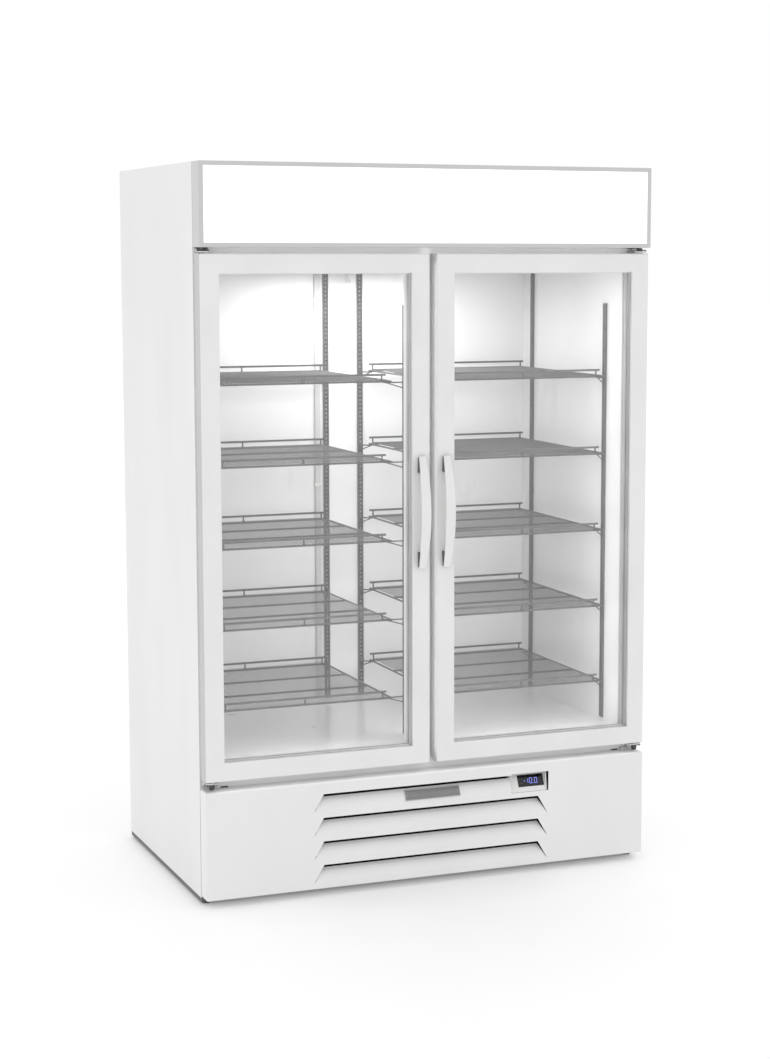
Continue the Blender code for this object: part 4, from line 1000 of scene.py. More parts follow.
def make_hinge(side, end):
    """Plate screwed to the cabinet, a tongue with the pin, a bushing and the closing spring's barrel."""
    name = f"{end}_{side_name(side)}"
    node = f"hinge_bracket_{name}"
    low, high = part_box(node)
    door_low, door_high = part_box(f"door_frame_{side_name(side)}")
    up = 1 if end == "bottom" else -1
    edge = door_low.z if up > 0 else door_high.z
    pin_x, pin_y = side * (max(abs(low.x), abs(high.x)) - 0.018), low.y + 0.012

    def level(distance):
        """A height on the cabinet's side of the door's edge."""
        return edge - up * distance

    bracket = Solid()
    tongue = sorted((level(0.0028), level(0.0066)))
    bracket.prism(rounded_outline((low.x, low.y), (high.x, high.y - 0.0005), 0.008), *tongue, 0.0006)
    plate_far = low.z if up > 0 else high.z
    plate = sorted((level(0.0062), plate_far))
    bracket.box((low.x, high.y - 0.0034, plate[0]), (high.x, high.y, plate[1]), 0.0010)
    web = sorted((level(0.0060), level(0.0100)))
    for x in (low.x + 0.0004, high.x - 0.0030):
        bracket.box((x, high.y - 0.020, web[0]), (x + 0.0026, high.y - 0.002, web[1]), 0.0008)
    bracket.place(f"hinge_plate_{name}", ZINC, "zinc_steel", [node])

    pin = Solid()
    drop = abs(plate_far - edge) - 0.0068
    barrel = [(0, -0.0066 - drop), (0.0060, -0.0066 - drop), (0.0078, -0.0060 - drop * 0.85),
              (0.0078, -0.0074), (0.0066, -0.0067), (0, -0.0067)]
    turn = Matrix.Translation((pin_x, pin_y, edge)) @ Matrix.Diagonal((1, 1, up, 1))
    pin.turned(barrel, turn, steps=24)
    outer_x = low.x + 0.0022 if side < 0 else high.x - 0.0022
    pin.rod([(pin_x, pin_y, level(0.0100)), (outer_x, low.y + 0.004, level(0.0090)),
             (outer_x, low.y + 0.0035, level(0.0068))], 0.0016, sides=10)
    pin.place(f"hinge_barrel_{name}", BARREL_STEEL, "zinc_steel")
    bushing = Solid()
    bushing.turned([(0.0040, -0.0027), (0.0085, -0.0027), (0.0090, -0.0022), (0.0090, -0.0008),
                    (0.0085, -0.0003), (0.0040, -0.0003)], turn, steps=24)
    bushing.place(f"hinge_bushing_{name}", BEZEL_PLASTIC, "white_plastic")

    screws = Solid()
    middle = (plate[0] + plate[1]) / 2
    head = min(0.0040, (plate[1] - plate[0]) * 0.42)
    for x in (low.x + 0.008, high.x - 0.008):
        add_screw(screws, (x, high.y - 0.0034, middle), (0, -1, 0), head)
    screws.place(f"hinge_screws_{name}", CHROME, "zinc_steel")


for hinge_side in (-1, 1):
    for hinge_end in ("bottom", "top"):
        make_hinge(hinge_side, hinge_end)


def make_sill_parts():
    """Next to each lower hinge: a bright adjusting screw and a rubber bumper on the sill."""
    sill_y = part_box("door_sill")[0].y
    for side in (-1, 1):
        name = side_name(side)
        low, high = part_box(f"hinge_bracket_bottom_{name}")
        inner = low.x if side > 0 else high.x
        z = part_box("grille_panel")[1].z
        bolt = Solid()
        add_screw(bolt, (inner - side * 0.0060, sill_y, z + 0.0046), (0, -1, 0), 0.0042, 0.0040)
        bolt.place(f"sill_screw_{name}", CHROME, "zinc_steel")
        bumper = Solid()
        near, far = sorted((inner - side * 0.015, inner - side * 0.036))
        bumper.box((near, sill_y - 0.0032, z + 0.0004), (far, sill_y - 0.0001, z + 0.0034), 0.0008)
        bumper.place(f"sill_bumper_{name}", BLACK_RUBBER, "black_plastic")


make_sill_parts()


# ---- Inside the cabinet ------------------------------------------------------------------------------

def make_shade_raceway():
    """Grey cable cover down the rear wall, standing in as painted shade for the soft dark strip beside the
    left centre pilaster, with its clips, and the fittings under the ceiling.
    """
    low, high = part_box("pilaster_left_center_rear")
    wall, bottom = high.y, low.z
    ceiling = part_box("evaporator_cover")[0].z
    half, height = 0.0095, 0.0075
    # The strip's middle, on the soft shade beside the left centre pilaster.
    middle = -0.0825
    cover = Solid()
    outline = [(-half, 0), (-half + 0.0005, -0.006), (-half + 0.0030, -height),
               (half - 0.0030, -height), (half - 0.0005, -0.006), (half, 0)]
    cover.prism([(middle + x, wall + y) for x, y in outline], bottom, ceiling - 0.004, 0.0005, 1)
    cover.place("raceway_painted_shade_strip", RACEWAY_SHADE_AND_FITTING_GREY, "white_plastic")
    clips = Solid()
    for share in (0.08, 0.5, 0.92):
        z = bottom + (ceiling - bottom) * share
        clips.box((middle - 0.0120, wall - 0.0088, z - 0.005),
                  (middle + 0.0120, wall - 0.0001, z + 0.005), 0.0012)
    clips.place("raceway_clips", BEZEL_PLASTIC, "white_plastic")
    fittings = Solid()
    fittings.box((-0.0300, wall - 0.050, ceiling - 0.022), (-0.0120, wall - 0.030, ceiling - 0.0006), 0.003)
    drain = rounded_path([(0, -0.040, -0.0006), (0, -0.040, -0.030), (0.006, -0.040, -0.046),
                          (0.016, -0.020, -0.046)], 0.008)
    fittings.rod(drain, 0.0055, sides=14, matrix=Matrix.Translation((0, wall, ceiling)))
    fittings.place("ceiling_fittings", RACEWAY_SHADE_AND_FITTING_GREY, "white_plastic")


def make_mullion():
    """The post between the doors: a front plate with rounded rear corners, and a web behind it."""
    low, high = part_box("center_mullion")
    web = -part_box("pilaster_left_center_front")[1].x
    plate_rear = low.y + MULLION_PLATE
    corners = [(web, high.y, 0), (web, plate_rear, 0), (high.x, plate_rear, 0), (high.x, low.y, 0)]
    right = [(point.x, point.y) for point in rounded_path(corners, MULLION_RADIUS, 5)]
    outline = right + [(-x, y) for x, y in reversed(right)]
    post = Solid()
    post.prism(outline, low.z, high.z)
    post.place("mullion_post", MULLION_WHITE_PAINTED_LIGHT, "grey_trim", ["center_mullion"])


def make_mullion_lamp():
    """Lamp channel up the back of the mullion's web: aluminium body, diffuser and two end caps."""
    low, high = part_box("mullion_lamp")
    channel = Solid()
    depth = high.y - low.y
    flange = low.y + depth * 0.62
    wall = 0.0015
    channel.prism([(low.x, low.y), (high.x, low.y), (high.x, flange), (high.x - wall, flange),
                   (high.x - wall, low.y + wall), (low.x + wall, low.y + wall), (low.x + wall, flange),
                   (low.x, flange)], low.z + 0.012, high.z - 0.012)
    channel.place("lamp_channel", ALUMINIUM, "aluminium", ["mullion_lamp"])
    diffuser = Solid()
    radius = (high.x - low.x) / 2 - 0.0018
    angles = [math.pi * step / 10 for step in range(11)]
    arc = [(radius * math.cos(angle), low.y + depth / 2 * (1 + math.sin(angle))) for angle in angles]
    diffuser.prism(arc + [(-radius, low.y + 0.004), (radius, low.y + 0.004)], low.z + 0.012, high.z - 0.012)
    diffuser.place("lamp_diffuser", LAMP_GLOW, "lamp_white")
    caps = Solid()
    for bottom in (low.z, high.z - 0.0118):
        caps.prism(rounded_outline((low.x, low.y), (high.x, high.y), 0.006), bottom, bottom + 0.0118, 0.0008)
    caps.place("lamp_end_caps", BEZEL_PLASTIC, "white_plastic")


make_shade_raceway()
make_mullion()
make_mullion_lamp()


# ---- Feet and refrigeration unit ---------------------------------------------------------------------

def make_feet():
    """Levelling feet: a stepped pad, a threaded stem and a lock nut inside the base pan."""
    low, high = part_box("leveling_foot_front_left")
    radius = (high.x - low.x) / 2
    height = high.z
    nut = (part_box("base_pan")[0].z + 0.0034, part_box("base_pan")[0].z + 0.0112)
    profile = [(0, 0), (radius - 0.0012, 0), (radius, 0.0010), (radius, 0.0034), (radius - 0.0020, 0.0048),
               (0.0062, 0.0052), (0.0048, 0.0056)]
    z = 0.0062
    while z < height - 0.0022:
        profile += [(0.0044, z), (0.0050, z + 0.0005)]
        z += 0.0010
    profile += [(0.0050, height - 0.0012), (0.0038, height), (0, height)]
    foot = Solid()
    foot.turned(profile, Matrix.Identity(4), steps=20)
    foot.prism(circle(0.0094, 6), *nut, 0.0008)
    mesh = foot.mesh("leveling_foot", ZINC)
    for end in ("front", "rear"):
        for side in ("left", "right"):
            node = f"leveling_foot_{end}_{side}"
            low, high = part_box(node)
            put(f"threaded_foot_{end}_{side}", mesh, "cabinet", [node],
                ((low.x + high.x) / 2, (low.y + high.y) / 2, 0))


def make_coil(prefix, spacing, tube_rows, tube_pitch, tube_radius):
    """Finned coil: thin plates between two end plates, and a serpentine copper tube with return bends."""
    low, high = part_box(f"{prefix}_coil")
    end = 0.0014
    bend = tube_pitch * 0.5
    fins = Solid()
    inner_low, inner_high = low.x + bend + tube_radius + 0.002, high.x - bend - tube_radius - 0.002
    count = int((inner_high - inner_low) / spacing)
    for index in range(1, count):
        x = inner_low + (inner_high - inner_low) * index / count
        fins.box((x - 0.00015, low.y + 0.0015, low.z + 0.002),
                 (x + 0.00015, high.y - 0.0015, high.z - 0.002))
    fins.place(f"{prefix}_fins", FIN_ALUMINIUM, "aluminium", [f"{prefix}_coil"])
    frame_plates = Solid()
    for x in (inner_low, inner_high):
        frame_plates.box((x - end / 2, low.y, low.z), (x + end / 2, high.y, high.z), 0.0004, 1)
    for z in (low.z + 0.0002, high.z - 0.0014):
        frame_plates.box((inner_low, low.y, z), (inner_high, high.y, z + 0.0012))
    frame_plates.place(f"{prefix}_plates", GALVANISED, "aluminium")
    tubes = Solid()
    levels = int((high.z - low.z - 0.020) / tube_pitch)
    start_z = (low.z + high.z) / 2 - (levels - 1) * tube_pitch / 2
    for row in range(tube_rows):
        y = low.y + (high.y - low.y) * (row + 0.5) / tube_rows
        path = []
        for index in range(levels):
            z = start_z + index * tube_pitch
            out = 1 if index % 2 == 0 else -1
            path.append((inner_low if out > 0 else inner_high, y, z))
            path.append((inner_high if out > 0 else inner_low, y, z))
            if index < levels - 1:
                edge_x = inner_high if out > 0 else inner_low
                for step in range(1, 8):
                    angle = math.pi * step / 8
                    path.append((edge_x + out * bend * math.sin(angle), y,
                                 z + tube_pitch / 2 - tube_pitch / 2 * math.cos(angle)))
        tubes.rod(path, tube_radius, sides=8)
    tubes.place(f"{prefix}_tubes", COPPER, "aluminium")


def fan_mesh(radius, hub_radius, hub_half):
    """Fan on the origin turning about Z: a hub with a rounded nose and five swept blades."""
    fan = Solid()
    fan.turned([(0.0042, -hub_half), (hub_radius - 0.002, -hub_half), (hub_radius, -hub_half + 0.002),
                (hub_radius, hub_half - 0.005), (hub_radius - 0.0015, hub_half - 0.002),
                (hub_radius - 0.005, hub_half), (0.0042, hub_half)], Matrix.Identity(4), steps=40)
    along, around = 8, 8
    half_thick = 0.0011
    for blade in range(FAN_BLADES):
        turn = 2 * math.pi * blade / FAN_BLADES
        upper, lower = [], []
        for i in range(along + 1):
            share = i / along
            r = hub_radius - 0.0015 + (radius - hub_radius + 0.0005) * share
            sweep = 0.34 * share ** 1.5
            half_angle = (0.42 + 0.13 * math.sin(math.pi * min(share * 1.1, 1.0))) * (1 - 0.25 * share ** 6)
            pitch = math.radians(34 - 15 * share)
            for j in range(around + 1):
                across = 2 * j / around - 1
                angle = turn + sweep + half_angle * across
                z = r * half_angle * across * math.tan(pitch) * 0.62 + 0.0030 * (1 - across ** 2)
                z = max(-hub_half + 0.0014, min(hub_half - 0.0014, z))
                taper = half_thick * (1 - 0.55 * across ** 2)
                upper.append((r * math.cos(angle), r * math.sin(angle), z + taper))
                lower.append((r * math.cos(angle), r * math.sin(angle), z - taper))
        wide = around + 1
        size = (along + 1) * wide
        faces = []
        for i in range(along):
            for j in range(around):
                a = i * wide + j
                faces.append([a, a + 1, a + 1 + wide, a + wide])
                faces.append([size + a + wide, size + a + 1 + wide, size + a + 1, size + a])
        rim = (list(range(wide)) + [i * wide + around for i in range(1, along + 1)]
               + [along * wide + j for j in range(around - 1, -1, -1)]
               + [i * wide for i in range(along - 1, 0, -1)])
        for first, second in zip(rim, rim[1:] + rim[:1]):
            faces.append([second, first, size + first, size + second])
        fan.add(upper + lower, faces)
    return fan.mesh("fan_blades", BLACK_PLASTIC, 50)


def fan_place(name):
    """The fan's middle, on its joint's axis, and its blades' radius."""
    joint = next(joint for joint in frame["joints"] if joint["name"] == f"{name}_spin")
    along = Vector(joint["axis"])
    low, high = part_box(f"{name}_blade")
    place = Vector(joint["pos_m"])
    place += along * ((low + high) / 2 - place).dot(along)
    return place, max(*(high - place), *(place - low))


def make_fans():
    """The fans replace the CAD's; each turns about its own joint's axis."""
    for name, axis in (("condenser_fan", (0, 1, 0)), ("evaporator_fan", (0, 0, 1))):
        low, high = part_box(f"{name}_blade")
        centre, radius = fan_place(name)
        hub_half = abs((high - low).dot(Vector(axis))) / 2
        mesh = fan_mesh(radius - 0.0015, 0.022, hub_half - 0.0006)
        mesh.transform(aimed((0, 0, 0), axis))
        put(f"{name}_rotor", mesh, name, [f"{name}_blade"], centre)


def add_motor(solid, front, axis, length):
    """A motor can with a cooling rib pattern, an end bell and a bearing boss. front is its shaft end."""
    radius = MOTOR_RADIUS
    profile = [(0, 0), (0.010, 0), (0.011, 0.002), (0.011, 0.004), (radius * 0.80, 0.006),
               (radius * 0.95, 0.010)]
    z = 0.014
    while z < length - 0.012:
        groove = radius * 0.965
        profile += [(radius, z), (radius, z + 0.0030), (groove, z + 0.0034), (groove, z + 0.0052)]
        z += 0.0056
    profile += [(radius * 0.95, length - 0.006), (radius * 0.75, length - 0.001), (0.012, length),
                (0, length)]
    solid.turned(profile, aimed(front, axis), steps=36)


def make_shroud():
    """Box over the condenser's rear that narrows to a rolled throat round the fan."""
    low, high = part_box("condenser_fan_motor")
    coil_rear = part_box("condenser_coil")[1].y
    centre, fan_radius = fan_place("condenser_fan")
    rear = coil_rear + SHROUD_DEPTH
    throat = fan_radius + 0.006
    outline = rounded_outline((low.x, low.z), (high.x, high.z), 0.004, 11)
    angles = [math.atan2(z - centre.z, x - centre.x) for x, z in outline]

    def ring(radius):
        return [(centre.x + radius * math.cos(angle), centre.z + radius * math.sin(angle))
                for angle in angles]

    drawn_in = [(centre.x + (x - centre.x) * 0.992, centre.z + (z - centre.z) * 0.992) for x, z in outline]
    outer = [[(x, y, z) for x, z in points]
             for points, y in ((outline, coil_rear + 0.0004), (outline, rear - 0.002), (drawn_in, rear),
                               (ring(throat + 0.004), rear), (ring(throat), rear - 0.003),
                               (ring(throat), rear - 0.014))]

    def inside(layer, x, y, z):
        """The wall's inner side: in from the box, behind its face, and outwards from the throat."""
        if layer > 3:
            away = Vector((x - centre.x, 0, z - centre.z)).normalized() * SHROUD_WALL
            return x + away.x, y - 0.3 * SHROUD_WALL * (layer == 4), z + away.z
        shrink = 1.4 * SHROUD_WALL * (layer < 3)
        depth = min(y, rear - 0.002 - SHROUD_WALL) if layer < 2 else y - SHROUD_WALL
        return x - math.copysign(shrink, x - centre.x), depth, z - math.copysign(shrink, z - centre.z)

    shroud = Solid()
    shroud.shell(outer, [[inside(layer, *point) for point in points] for layer, points in enumerate(outer)])
    shroud.place("condenser_shroud", BLACK_PAINT, "black_paint", ["condenser_fan_motor"])


def make_condenser_motor():
    """A bar across the shroud's throat with two arms, and the motor on the bar."""
    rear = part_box("condenser_fan_motor")[1].y
    shroud_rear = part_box("condenser_coil")[1].y + SHROUD_DEPTH
    fan_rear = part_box("condenser_fan_blade")[1].y
    centre = fan_place("condenser_fan")[0]
    at_axis = Matrix.Translation((centre.x, 0, centre.z))
    bar_y = shroud_rear + 0.040
    half = 0.121
    bracket = Solid()
    for z in (-0.008, 0.008):
        path = [(-half, shroud_rear, z), (-half, bar_y, z), (half, bar_y, z), (half, shroud_rear, z)]
        bracket.rod(rounded_path(path, 0.008), BRACKET_ROD, sides=10, matrix=at_axis)
    bracket.box((-0.040, bar_y - 0.0010, -0.014), (0.040, bar_y + 0.0016, 0.014), 0.0010, matrix=at_axis)
    bracket.place("condenser_motor_bracket", ZINC, "zinc_steel")
    motor = Solid()
    add_motor(motor, (centre.x, bar_y + 0.0020, centre.z), (0, 1, 0), rear - bar_y - 0.0022)
    motor.rod([(0, fan_rear - 0.001, 0), (0, bar_y + 0.004, 0)], SHAFT_RADIUS, sides=14, matrix=at_axis)
    motor.place("condenser_motor", BLACK_PAINT, "black_paint")


def make_evaporator_motor():
    """Motor on a bar over the intake, and the wire guard under the fan."""
    low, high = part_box("evaporator_fan_motor")
    fan_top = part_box("evaporator_fan_blade")[1].z
    centre = fan_place("evaporator_fan")[0]
    at_axis = Matrix.Translation((centre.x, centre.y, 0))
    bar_z = fan_top + 0.021
    bracket = Solid()
    near, far = low.x + 0.004, high.x - 0.004
    for y in (centre.y - 0.008, centre.y + 0.008):
        path = [(near, y, low.z + 0.0004), (near, y, bar_z), (far, y, bar_z), (far, y, low.z + 0.0004)]
        bracket.rod(rounded_path(path, 0.010), BRACKET_ROD, sides=10)
    for x in (near, far):
        bracket.box((x - 0.0035, centre.y - 0.0115, low.z), (x + 0.0035, centre.y + 0.0115, low.z + 0.0018),
                    0.0005)
    bracket.place("evaporator_motor_bracket", ZINC, "zinc_steel", ["evaporator_fan_motor"])
    motor = Solid()
    add_motor(motor, (centre.x, centre.y, bar_z - 0.008), (0, 0, 1), high.z - bar_z + 0.008)
    motor.rod([(0, 0, fan_top - 0.001), (0, 0, bar_z - 0.004)], SHAFT_RADIUS, sides=14, matrix=at_axis)
    motor.place("evaporator_motor", GALVANISED, "zinc_steel")

    guard = Solid()
    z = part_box("evaporator_cover")[0].z - 0.0022
    for radius in (0.030, 0.047, 0.064, 0.081, 0.098, 0.112):
        guard.rod([(x, y, z) for x, y in circle(radius, 48)], 0.0011, sides=6, closed=True, matrix=at_axis)
    for spoke in range(4):
        angle = math.pi / 4 + math.pi / 2 * spoke
        guard.rod([(radius * math.cos(angle), radius * math.sin(angle), z - 0.0018)
                   for radius in (0.028, 0.116)], 0.0016, sides=6, matrix=at_axis)
    guard.place("evaporator_fan_guard", WHITE_WIRE, "white_plastic")


def compressor_place():
    """The compressor's axis at floor level, and the height of its foot plate."""
    low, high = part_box("compressor")
    return Vector((low.x + COMPRESSOR_PLATE_HALF[0], (low.y + high.y) / 2, 0)), low.z + COMPRESSOR_LIFT


def make_compressor():
    """Hermetic compressor: two drawn halves with a weld flange."""
    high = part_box("compressor")[1]
    centre, base = compressor_place()
    at_centre = Matrix.Translation(centre)
    radius, top = COMPRESSOR_RADIUS, high.z
    seam = base + 0.1015
    dome = ((0, 0), (0.30, 0.0020), (0.55, 0.0080), (0.78, 0.0200), (0.93, 0.0380), (0.995, 0.0560))
    flange = ((0, 0.0040), (0.0015, 0.0030), (0.0058, 0.0026), (0.0062, 0), (0.0058, -0.0026),
              (0.0015, -0.0030))
    bowl = ((0.985, 0.0300), (0.93, 0.0130), (0.80, 0.0030), (0.60, 0), (0, 0))
    can = Solid()
    can.turned([(radius * share, top - drop) for share, drop in dome]
               + [(radius + out, seam + up) for out, up in flange] + [(radius * 0.99, seam - 0.0050)]
               + [(radius * share, base + up) for share, up in bowl], at_centre, steps=56)
    can.place("compressor_can", BLACK_PAINT, "black_paint", ["compressor"], smooth_angle=50)


def make_compressor_foot():
    """Foot plate with folded edges on four rubber grommets, each with its bolt."""
    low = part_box("compressor")[0]
    half_x, half_y = COMPRESSOR_PLATE_HALF
    centre, base = compressor_place()
    at_centre = Matrix.Translation(centre)
    foot = Solid()
    foot.prism(rounded_outline((-half_x, -half_y), (half_x, half_y), 0.018), base - 0.0016, base + 0.0016,
               0.0006, matrix=at_centre)
    for y in (-half_y + 0.002, half_y - 0.0046):
        foot.box((-0.060, y, base - 0.010), (0.060, y + 0.0026, base), 0.001, matrix=at_centre)
    foot.place("compressor_foot", BLACK_PAINT, "black_paint")
    grommets, bolts = Solid(), Solid()
    for x in (-half_x + 0.015, half_x - 0.015):
        for y in (-half_y + 0.015, half_y - 0.015):
            place = at_centre @ Matrix.Translation((x, y, 0))
            grommets.turned([(0.0045, low.z + 0.0002), (0.0120, low.z + 0.0002), (0.0124, low.z + 0.0040),
                             (0.0095, low.z + 0.0070), (0.0095, base - 0.0060), (0.0118, base - 0.0040),
                             (0.0115, base - 0.0018), (0.0045, base - 0.0018)], place, steps=20)
            bolts.turned([(0, low.z + 0.0010), (0.0040, low.z + 0.0010), (0.0040, base + 0.0018),
                          (0.0095, base + 0.0018), (0.0095, base + 0.0030), (0.0040, base + 0.0032),
                          (0.0040, base + 0.0090), (0.0030, base + 0.0100), (0, base + 0.0100)],
                         place, steps=16)
            bolts.prism(circle(0.0072, 6), base + 0.0031, base + 0.0084, 0.0006, matrix=place)
    grommets.place("compressor_grommets", BLACK_RUBBER, "black_plastic")
    bolts.place("compressor_bolts", ZINC, "zinc_steel")


def make_terminal_cover():
    """Cover over the compressor's terminals, on its right side."""
    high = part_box("compressor")[1]
    centre, base = compressor_place()
    at_centre = Matrix.Translation(centre)
    radius = COMPRESSOR_RADIUS
    terminal = Solid()
    terminal.box((radius * 0.93, -0.029, base + 0.041), (high.x - centre.x, 0.029, base + 0.091), 0.0045, 3,
                 at_centre)
    terminal.box((radius * 0.80, -0.022, base + 0.048), (radius, 0.022, base + 0.084), 0.002, 2, at_centre)
    terminal.place("compressor_terminal_cover", BLACK_PLASTIC, "black_plastic")


def make_pipes():
    """Discharge line from the compressor to the condenser, suction line and the process stub."""
    centre, base = compressor_place()
    coil_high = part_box("condenser_coil")[1]
    pipes = Solid()
    start = centre + Vector((-0.045, -0.0795, base + 0.060))
    run_x, run_z = coil_high.x - 0.006, start.z + 0.095
    front, rear = start.y - 0.030, coil_high.y - 0.030
    discharge = [start, (start.x, front, start.z), (start.x, front, run_z), (run_x, front, run_z),
                 (run_x, rear, run_z), (run_x, rear, coil_high.z - 0.030)]
    pipes.rod(rounded_path(discharge, 0.014, 5), 0.0032, sides=12)
    suction = [(-0.0905, 0.012, 0.078), (-0.1305, 0.012, 0.078), (-0.1305, 0.074, 0.078),
               (-0.1305, 0.074, 0.183)]
    at_base = Matrix.Translation(centre + Vector((0, 0, base)))
    pipes.rod(rounded_path(suction, 0.016, 5), 0.0048, sides=12, matrix=at_base)
    pipes.rod([(-0.0700, 0.056, 0.070), (-0.0980, 0.079, 0.070)], 0.0032, sides=12, matrix=at_base)
    pipes.place("refrigerant_pipes", COPPER, "aluminium")


make_feet()
make_coil("condenser", spacing=0.0032, tube_rows=3, tube_pitch=0.025, tube_radius=0.0048)
make_coil("evaporator", spacing=0.0060, tube_rows=5, tube_pitch=0.026, tube_radius=0.0052)
make_fans()
make_shroud()
make_condenser_motor()
make_evaporator_motor()
make_compressor()
make_compressor_foot()
make_terminal_cover()
make_pipes()


# ---- Rear --------------------------------------------------------------------------------------------

def spaced(low, high, count):
    return [low + (high - low) * index / (count - 1) for index in range(count)]


def place_rear_screws(name, places, face):
    """Wafer heads on the back, at (X, Z) places."""
    screws = Solid()
    for x, z in places:
        add_screw(screws, (x, face, z), (0, 1, 0), *REAR_SCREW)
    screws.place(name, ZINC, "zinc_steel")


def make_back():
    """Back sheet with hemmed sides and wafer head screws, and a blank rating plate."""
    low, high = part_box("back_panel")
    face = high.y - HEM
    sheet = Solid()
    sheet.box((low.x, low.y, low.z), (high.x, face, high.z), 0.0002, 1)
    for x in (low.x + 0.0005, high.x - 0.0165):
        sheet.box((x, face - 0.0002, low.z + 0.001), (x + 0.016, high.y - 0.0001, high.z - 0.001), 0.0002, 1)
    sheet.place("back_sheet", BACK_STEEL, "grey_paint", ["back_panel"])
    places = [(x, z) for z in spaced(low.z + 0.05, high.z - 0.05, 6) for x in (low.x + 0.03, high.x - 0.03)]
    places += [(x, z) for z in (low.z + 0.012, high.z - 0.012)
               for x in spaced(low.x + 0.16, high.x - 0.16, 4)]
    place_rear_screws("back_screws", places, face)
    corner, opposite = RATING_PLATE
    plate = Solid()
    plate.box((corner[0], face - 0.0001, corner[1]), (opposite[0], face + 0.0004, opposite[1]), 0.0001, 1)
    plate.surround([(0.003, face), (0.0036, face + 0.00055), (0.0042, face)], corner, opposite)
    plate.place("rating_plate", ALUMINIUM, "aluminium")


def make_rear_cover():
    """Slotted and louvred cover of the machine compartment, open behind the mains inlet."""
    low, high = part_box("rear_grille")
    face = high.y - HEM
    bottoms = [LOUVRE_BOTTOM + LOUVRE_PITCH * row for row in range(LOUVRE_ROWS)]
    rows = [low.z] + [z for bottom in bottoms for z in (bottom, bottom + LOUVRE_HEIGHT)] + [high.z]
    hole = (INLET_CENTRE[0] - 0.020, INLET_CENTRE[0] + 0.020)
    columns = [low.x, *LOUVRE_SPANS[0], *LOUVRE_SPANS[1], *hole, high.x]
    cover = Solid()
    cover.plate(columns, rows, lambda i, j: i in (1, 3) and j % 2 == 1 or i == 5 and j in (1, 2), 0.0012,
                Matrix.Translation((0, face - 0.0012, 0)))
    for near, far in LOUVRE_SPANS:
        for bottom in bottoms:
            top = bottom + LOUVRE_HEIGHT
            cover.prism([(face - 0.0010, top), (face - 0.0090, top - 0.0060), (face - 0.0098, top - 0.0060),
                         (face - 0.0022, top)], near, far, matrix=UPRIGHT)
    cover.place("rear_cover", BACK_STEEL, "grey_paint", ["rear_grille"])
    places = [(x, z) for x in spaced(low.x + 0.020, high.x - 0.020, 5)
              for z in (low.z + 0.014, high.z - 0.012)]
    place_rear_screws("rear_cover_screws", places, face)


def make_mains_inlet():
    """A recessed socket with a flange round it and three pins."""
    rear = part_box("rear_grille")[1].y
    at_centre = Matrix.Translation((INLET_CENTRE[0], rear - HEM, INLET_CENTRE[1]))
    x, z = INLET_HALF
    inlet = Solid()
    inlet.plate([-x - 0.016, -x, x, x + 0.016], [-z - 0.012, -z, z, z + 0.012],
                lambda i, j: i == 1 and j == 1, HEM, at_centre)
    for sign in (-1, 1):
        near, far = sorted((sign * x, sign * (x + INLET_WALL)))
        inlet.box((near, -INLET_DEPTH, -z - 0.004), (far, 0, z + 0.004), 0.0004, 1, at_centre)
        near, far = sorted((sign * z, sign * (z + INLET_WALL)))
        inlet.box((-x, -INLET_DEPTH, near), (x, 0, far), 0.0004, 1, at_centre)
    inlet.box((-x, -INLET_DEPTH, -z), (x, 0.004 - INLET_DEPTH, z), matrix=at_centre)
    inlet.place("mains_inlet", BLACK_PLASTIC, "black_plastic")
    pins = Solid()
    for x, z in ((-0.009, -0.004), (0.009, -0.004), (0.0, 0.006)):
        pins.box((x - 0.001, -0.0225, z - 0.003), (x + 0.001, -0.006, z + 0.003), 0.0005, matrix=at_centre)
    pins.place("mains_inlet_pins", ZINC, "zinc_steel")


make_back()
make_rear_cover()
make_mains_inlet()


# ---- Stage, lights and camera ---------------------------------------------------------------------

def make_floor():
    floor = Solid()
    floor.add([(-FLOOR_REACH, -FLOOR_REACH, 0), (FLOOR_REACH, -FLOOR_REACH, 0),
               (FLOOR_REACH, FLOOR_REACH, 0), (-FLOOR_REACH, FLOOR_REACH, 0)], [[0, 1, 2, 3]])
    finish = Finish("floor_white", (0.88, 0.88, 0.88), 0.6, Emission_Strength=0.17)
    finish.shader.inputs["Emission Color"].default_value = (1, 1, 1, 1)
    finish.vary_roughness(finish.noise(2.0), 0.05)
    plane = bpy.data.objects.new("studio_floor", floor.mesh("studio_floor", finish.material))
    bpy.context.scene.collection.objects.link(plane)


def make_light(name, place, target, size, power):
    """A soft rectangle of light that the camera and reflections don't show."""
    data = bpy.data.lights.new(name, "AREA")
    data.shape = "RECTANGLE"
    data.size, data.size_y = size
    data.energy = power
    lamp = bpy.data.objects.new(name, data)
    lamp.location = place
    lamp.rotation_euler = (Vector(place) - Vector(target)).to_track_quat("Z", "Y").to_euler()
    lamp.visible_camera = False
    lamp.visible_glossy = False
    bpy.context.scene.collection.objects.link(lamp)


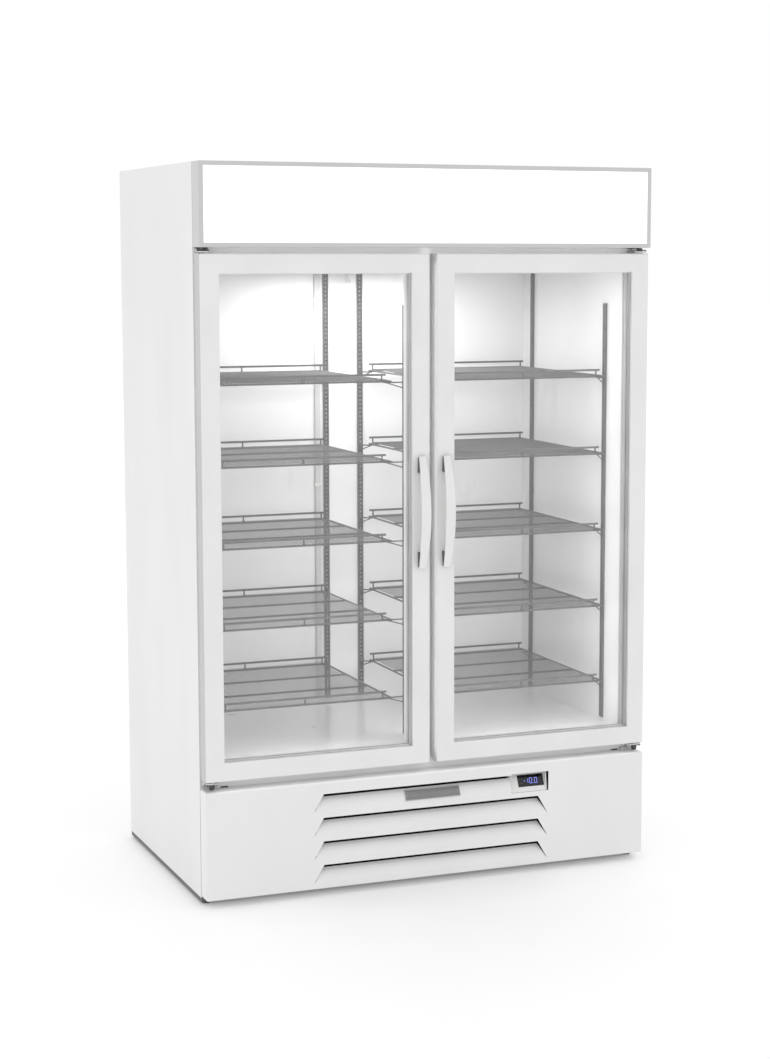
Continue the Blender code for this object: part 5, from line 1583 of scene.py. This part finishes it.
def make_lights():
    world = bpy.data.worlds.new("studio")
    world.use_nodes = True
    background = world.node_tree.nodes["Background"]
    background.inputs["Color"].default_value = (1, 1, 1, 1)
    background.inputs["Strength"].default_value = 1.0
    bpy.context.scene.world = world
    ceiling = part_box("evaporator_cover")[0].z
    make_light("ceiling_lamp", (0, 0.12, ceiling - 0.03), (0, 0.14, 0), (0.55, 0.10), 3.6)
    for side in (-1, 1):
        glass_low, glass_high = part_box(f"door_glass_{side_name(side)}")
        middle = (glass_low + glass_high) / 2
        size = (glass_high.x - glass_low.x - 0.06, glass_high.z - glass_low.z - 0.04)
        make_light(f"door_light_{side_name(side)}", (middle.x, glass_high.y + 0.008, middle.z),
                   (middle.x, 1.0, middle.z), size, 3.2 + 0.3 * side)
    door_low, door_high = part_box("door_frame_left")
    gap_y = door_low.y + 0.003
    header_z = (door_high.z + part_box("sign_housing")[0].z) / 2
    make_light("header_gap_light", (0, gap_y, header_z), (0, 1.0, header_z), (1.27, 0.010), 0.12)
    door_z = (door_low.z + door_high.z) / 2
    make_light("door_gap_light", (0, gap_y, door_z), (0, 1.0, door_z), (0.014, 1.37), 0.20)
    sill_z = (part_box("grille_panel")[1].z + door_low.z) / 2
    make_light("sill_light", (0, gap_y, sill_z), (0, 1.0, sill_z - 0.4), (1.27, 0.012), 0.085)


def make_camera():
    azimuth = math.radians(CAMERA_AZIMUTH)
    elevation = math.radians(CAMERA_ELEVATION)
    back = Vector((math.sin(azimuth) * math.cos(elevation), -math.cos(azimuth) * math.cos(elevation),
                   math.sin(elevation)))
    data = bpy.data.cameras.new("camera")
    data.lens = CAMERA_LENS
    data.shift_x = CAMERA_SHIFT_X
    camera = bpy.data.objects.new("camera", data)
    camera.location = CAMERA_TARGET + back * CAMERA_DISTANCE
    camera.rotation_euler = back.to_track_quat("Z", "Y").to_euler()
    bpy.context.scene.collection.objects.link(camera)
    bpy.context.scene.camera = camera


make_floor()
make_lights()
make_camera()
bpy.context.scene.view_settings.view_transform = "Standard"
